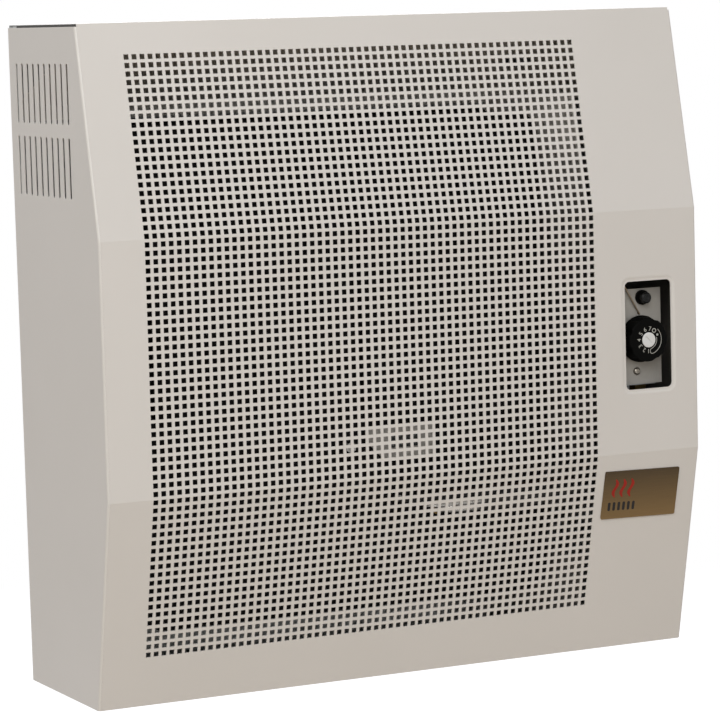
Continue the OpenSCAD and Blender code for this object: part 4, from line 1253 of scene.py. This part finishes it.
for i in range(WAVES):
    wave_x = along_sign(i, WAVES, WAVE_GAP)
    wave_z = badge_z + WAVES_UP
    strip = printed_strip(f"wave_{i}", wave_x, wave_z, WAVE_W, WAVE_H, red_print)
    edit(strip)
    pick("EDGE", lambda edge: near(edge.verts[0].co.x, edge.verts[1].co.x))
    bpy.ops.mesh.subdivide(number_cuts=WAVE_CUTS)
    leave_edit()
    for vert in strip.data.vertices:
        phase = (vert.co.z - wave_z) / WAVE_H
        taper = 1 - WAVE_TAPER * (2 * phase) ** 4
        middle = wave_x + WAVE_SWING * math.sin(2 * math.pi * phase)
        vert.co.x = middle + (vert.co.x - wave_x) * taper
for i in range(FINS):
    strip = printed_strip(f"fin_{i}", along_sign(i, FINS, FIN_GAP), badge_z - FINS_DOWN,
                          FIN_W, FIN_H, black_print)
    edit_all(strip)
    bpy.ops.mesh.bevel(offset=FIN_CORNER, segments=5, affect="VERTICES")
    leave_edit()
for strip in prints:
    add_modifier(strip, "SOLIDIFY", thickness=PRINT_T, offset=0)
join(badge, *prints)
edit_all(badge)
turn(BADGE_TILT, "Y", (BADGE_X, face_y, badge_z))
turn(math.degrees(slope), "X", LOWER_FOLD)
leave_edit()
finish_piece(badge, "heater", "badge_metal", (), "badge")

# %% [markdown]
# ## The screw under the knob
#
# One plated pan-head screw holds the control plate. Its domed head is a cylinder whose front
# edge is bevelled so far that only a small flat is left, with a cross cut for the driver.

# %% Plate screw
screw_low, screw_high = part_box("plate_screw")
screw_x = (screw_low.x + screw_high.x) / 2
screw_z = (screw_low.z + screw_high.z) / 2
HEAD_R = (screw_high.x - screw_low.x) / 2
HEAD_H = 2.6 * MM
DOME = 0.96 * HEAD_H
SHANK_R, SHANK_EDGE = 1.9 * MM, 0.3 * MM
CROSS_W, CROSS_L, CROSS_DEEP = 0.8 * MM, 4.4 * MM, 1.2 * MM
screw = start_rod("pan_head_screw", 48, HEAD_R, HEAD_H,
                  (screw_x, screw_low.y + HEAD_H / 2, screw_z))
edit(screw)
pick("EDGE", lambda edge: ends_at(edge, Y, screw_low.y))
bpy.ops.mesh.bevel(offset=DOME, segments=10, affect="EDGES")
leave_edit()
for width, height in ((CROSS_W, CROSS_L), (CROSS_L, CROSS_W)):
    cross = start_block("cross_cutter", (width, 2 * CROSS_DEEP, height),
                        (screw_x, screw_low.y, screw_z))
    cut_with(screw, cross)
shank = start_rod("shank", 24, SHANK_R, screw_high.y - screw_low.y - HEAD_H,
                  (screw_x, (screw_low.y + HEAD_H + screw_high.y) / 2, screw_z))
soften(shank, SHANK_EDGE)
join(screw, shank)
smooth(screw, 40)
finish_piece(screw, "heater", "bright_steel", [aged_steel], "plate_screw")

# %% [markdown]
# ## The sight frame
#
# A glass in the exchanger's front lets one see the flame. A plate with two ears holds it, and
# a dulled steel bezel with one cut corner lies on the plate round a small window. The plate
# is stoved black with the exchanger, and only the bezel and one nut show through the holes.
# The left nut is bright steel; the right one is given the black enamel, a painted shade.

# %% Sight frame
SIGHT_WINDOW = (-18.0 * MM, 16.0 * MM, -4.0 * MM, 11.0 * MM)    # left, right, low, high
BEZEL = (-39 * MM, 32.5 * MM, -14.5 * MM, 18.5 * MM)
BEZEL_T = 1.0 * MM
BEZEL_CUT = 16 * MM
EAR_T = 2.0 * MM
EAR_H = 13 * MM
CLAMP_BORDER = 7 * MM    # from the glass out to the plate's edge
CLAMP_R, BEZEL_R, WINDOW_R = 4 * MM, 2 * MM, 1.5 * MM
EAR_R = EAR_H / 2 - 0.1 * MM
SIGHT_EDGE = 0.25 * MM
CUTTER_REACH = 5 * MM
sight_low, sight_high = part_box("sight_frame")
glass_low, glass_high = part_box("sight_glass")
sight_x = (glass_low.x + glass_high.x) / 2
sight_z = (glass_low.z + glass_high.z) / 2


def flat_plate(name, left, right, low, high, y_back, y_front):
    """A plate parallel to the wall, given round the middle of the glass."""
    return start_block(name, (right - left, y_back - y_front, high - low),
                       (sight_x + (left + right) / 2, (y_back + y_front) / 2,
                        sight_z + (low + high) / 2))


def round_corners(plate, radius, test=lambda point: True, segments=6):
    """Round the corners of a plate that pass a test, or cut them off with a single segment."""
    edit(plate)
    pick("EDGE", lambda edge: not near(edge.verts[0].co.y, edge.verts[1].co.y)
         and test(edge.verts[0].co))
    bpy.ops.mesh.bevel(offset=radius, segments=segments, affect="EDGES")
    leave_edit()


def in_cut_corner(point):
    return point.x < sight_x and point.z < sight_z


half_w_sight = (glass_high.x - glass_low.x) / 2 + CLAMP_BORDER
half_h_sight = (sight_high.z - sight_low.z) / 2
plate = flat_plate("sight_clamp", -half_w_sight, half_w_sight, -half_h_sight, half_h_sight,
                   sight_high.y, sight_low.y + BEZEL_T)
round_corners(plate, CLAMP_R)
bezel = flat_plate("bezel", *BEZEL, sight_low.y + BEZEL_T, sight_low.y)
round_corners(bezel, BEZEL_R, lambda point: not in_cut_corner(point))
round_corners(bezel, BEZEL_CUT, in_cut_corner, segments=1)
ears = flat_plate("ears", sight_low.x - sight_x, sight_high.x - sight_x, -EAR_H / 2, EAR_H / 2,
                  sight_high.y, sight_high.y - EAR_T)
round_corners(ears, EAR_R)
for part in (plate, bezel):
    window = flat_plate("window_cutter", *SIGHT_WINDOW, sight_high.y + CUTTER_REACH,
                        sight_low.y - CUTTER_REACH)
    round_corners(window, WINDOW_R)
    cut_with(part, window)
for part, finish in ((plate, black_enamel), (bezel, bezel_steel), (ears, black_enamel)):
    soften(part, SIGHT_EDGE)
    part.data.materials.append(finish)
join(plate, bezel, ears)
finish_piece(plate, "heater", "bright_steel", (), "sight_frame")

# %% Nuts and studs
NUT_FLAT = 10 * MM
NUT_H = 5 * MM
NUT_EDGE = 0.4 * MM
STUD_R = 3 * MM
STUD_L = NUT_H + 1.5 * MM
STUD_EDGE = 0.5 * MM
nut_low, nut_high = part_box("sight_nuts")
nut_r = NUT_FLAT / 2 / math.cos(math.pi / 6)
nuts = []
# the right nut's black enamel is painted shade
for nut_x, finish in ((nut_low.x + nut_r, bright_steel), (nut_high.x - nut_r, black_enamel)):
    nut = start_rod("sight_nut", 6, nut_r, NUT_H, (nut_x, nut_high.y - NUT_H / 2, sight_z))
    add_modifier(nut, "BEVEL", width=NUT_EDGE, segments=2)
    stud = start_rod("stud", 24, STUD_R, STUD_L, (nut_x, nut_high.y - STUD_L / 2, sight_z))
    soften(stud, STUD_EDGE)
    join(nut, stud)
    nut.data.materials.append(finish)
    nuts.append(nut)
join(*nuts)
finish_piece(nuts[0], "heater", "bright_steel", (), "sight_nuts")

# %% [markdown]
# ## The duct collars
#
# Two short tubes stand in each other at the back: the flue inside, of cast aluminium, and the
# fresh air outside, of galvanised sheet. Near its end each has a ring that holds the seal of
# the wall duct, sunk in the outer tube and raised on the inner one. Each starts as a circle
# whose edge is extruded from station to station.

# %% Collars
COLLAR_WALL = 1.5 * MM
COLLAR_EDGE = 0.3 * MM
GROOVE_W = 4 * MM
GROOVE_DEPTH = 1.1 * MM
GROOVE_AT = -10 * MM


def rolled_collar(name, node, groove):
    """A tube along Y in the place of a frame node, with a groove of a signed depth."""
    low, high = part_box(node)
    centre = ((low.x + high.x) / 2, low.y, (low.z + high.z) / 2)
    outside = (high.x - low.x) / 2
    stations = (
        (low.y, outside - COLLAR_EDGE), (low.y + COLLAR_EDGE, outside),
        (GROOVE_AT - GROOVE_W / 2, outside),
        (GROOVE_AT - GROOVE_W / 4, outside + groove), (GROOVE_AT + GROOVE_W / 4, outside + groove),
        (GROOVE_AT + GROOVE_W / 2, outside), (high.y - COLLAR_EDGE, outside),
        (high.y, outside - COLLAR_EDGE),
    )
    collar = start_piece(name, bpy.ops.mesh.primitive_circle_add, vertices=128,
                         radius=stations[0][1], rotation=TO_FRONT, location=centre)
    edit_all(collar)
    for (y_before, r_before), (y, r) in zip(stations, stations[1:]):
        pull_edges(y=y - y_before)
        bpy.ops.transform.resize(value=(r / r_before, 1, r / r_before), center_override=centre)
    face_outwards()
    face = bmesh.from_edit_mesh(collar.data).faces[0]
    outward = face.calc_center_median() - Vector(centre)
    if face.normal.x * outward.x + face.normal.z * outward.z < 0:
        bpy.ops.mesh.flip_normals()
    leave_edit()
    add_modifier(collar, "SOLIDIFY", thickness=COLLAR_WALL, offset=-1)
    smooth(collar, 50)
    return collar


air_tube = rolled_collar("air_tube", "air_collar", -GROOVE_DEPTH)
finish_piece(air_tube, "heater", "zinc_steel", [zinc_sheet], "air_collar")
flue_tube = rolled_collar("flue_tube", "flue_collar", GROOVE_DEPTH)
finish_piece(flue_tube, "heater", "cast_aluminium", [cast_aluminium], "flue_collar")
print(f"collars: {volume_of(air_tube) * 1e6:.1f} and {volume_of(flue_tube) * 1e6:.1f} cm3")

# %% [markdown]
# ## The gas inlet
#
# The supply is screwed to a turned brass stub with a half-inch pipe thread, 14 turns to the
# inch. The thread is a small triangle swept up a helix by the Screw modifier, laid on a plain
# tube under a hexagon for the spanner.

# %% Gas inlet
THREAD_PITCH = 25.4 / 14 * MM
THREAD_D = 20.955 * MM
THREAD_DEPTH = 1.1 * MM
THREAD_TURNS = 11
THREAD_STEPS = 40    # around one turn
BORE_R = 6 * MM
HEX_H = 10 * MM
HEX_EDGE = 0.6 * MM
inlet_low, inlet_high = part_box("gas_inlet")
inlet_x = (inlet_low.x + inlet_high.x) / 2
inlet_y = (inlet_low.y + inlet_high.y) / 2
thread_r = THREAD_D / 2
root_r = thread_r - THREAD_DEPTH
stub_h = inlet_high.z - inlet_low.z
threaded_h = stub_h - HEX_H / 2

stub = start_piece("threaded_inlet", bpy.ops.mesh.primitive_cylinder_add, vertices=64,
                   radius=root_r, depth=threaded_h,
                   location=(inlet_x, inlet_y, inlet_low.z + threaded_h / 2))
spanner_hex = start_piece("spanner_hex", bpy.ops.mesh.primitive_cylinder_add, vertices=6,
                          radius=(inlet_high.y - inlet_low.y) / 2 / math.cos(math.pi / 6),
                          depth=HEX_H, location=(inlet_x, inlet_y, inlet_high.z - HEX_H / 2))
add_modifier(spanner_hex, "BEVEL", width=HEX_EDGE, segments=3)
for part in (stub, spanner_hex):
    bore = start_piece("bore_cutter", bpy.ops.mesh.primitive_cylinder_add, vertices=48,
                       radius=BORE_R, depth=2 * stub_h, location=(inlet_x, inlet_y, 0))
    cut_with(part, bore)
thread = start_piece("thread", bpy.ops.mesh.primitive_circle_add, vertices=3,
                     radius=THREAD_DEPTH, rotation=TO_FRONT)
edit_all(thread)
crest = max(vert.co.z for vert in bmesh.from_edit_mesh(thread.data).verts)
turn(90, "Y", (0, 0, 0))
push(x=thread_r - crest, z=inlet_low.z + THREAD_PITCH)
leave_edit()
add_modifier(thread, "SCREW", axis="Z", screw_offset=THREAD_PITCH, iterations=THREAD_TURNS,
             steps=THREAD_STEPS, render_steps=THREAD_STEPS, use_merge_vertices=True)
edit_all(thread)
bpy.ops.mesh.fill_holes(sides=3)
face_outwards()
push(x=inlet_x, y=inlet_y)
leave_edit()
join(stub, spanner_hex, thread)
smooth(stub, 30)
finish_piece(stub, "heater", "brass", [turned_brass], "gas_inlet")

# %% [markdown]
# ## Finishes for the frame's own pieces
#
# The rest of the heater keeps the shapes that the frame brings, each with its real finish.

# %% Finish the frame's pieces
FINISHES = {
    zinc_sheet: ("back_frame", "base_tray", "valve_bracket", "exchanger_brackets",
                 "air_channel", "duct_flange", "bulb_clips"),
    dull_zinc: ("air_deflector",),
    # the shield's zinc carries painted shade by its height
    shaded_zinc: ("heat_shield",),
    black_enamel: ("heat_exchanger", "exchanger_back", "burner_door", "door_screws"),
    # the pipes carry a painted highlight and painted shade along X
    lit_and_shaded_steel: ("burner_pipe", "pilot_pipe"),
    bright_steel: ("casing_screws", "bracket_screws", "duct_bolts", "igniter_nut",
                   "valve_spindle"),
    mill_sheet: ("control_plate",),
    plate_steel: ("main_burner", "pilot_burner", "inlet_pipe"),
    cast_aluminium: ("gas_valve",),
    turned_brass: ("valve_bush", "burner_injector", "union_nuts"),
    drawn_copper: ("sensor_capillary", "sensor_bulb"),
    near_black_copper: ("thermocouple", "thermocouple_lead"),
    black_abs: ("igniter_body",),
    worn_abs: ("igniter_button",),
    silicone: ("duct_gasket", "ignition_lead"),
    mineral_fibre: ("door_gasket",),
    glazed_ceramic: ("spark_electrode",),
    clear_glass: ("sight_glass",),
}
for material, names in FINISHES.items():
    for name in names:
        node = nodes[name]
        node.data.materials.clear()
        node.data.materials.append(material)
finished = {name for names in FINISHES.values() for name in names}
print("left without a finish:", sorted(n for n in nodes if n not in finished
                                       and not nodes[n].hide_render))
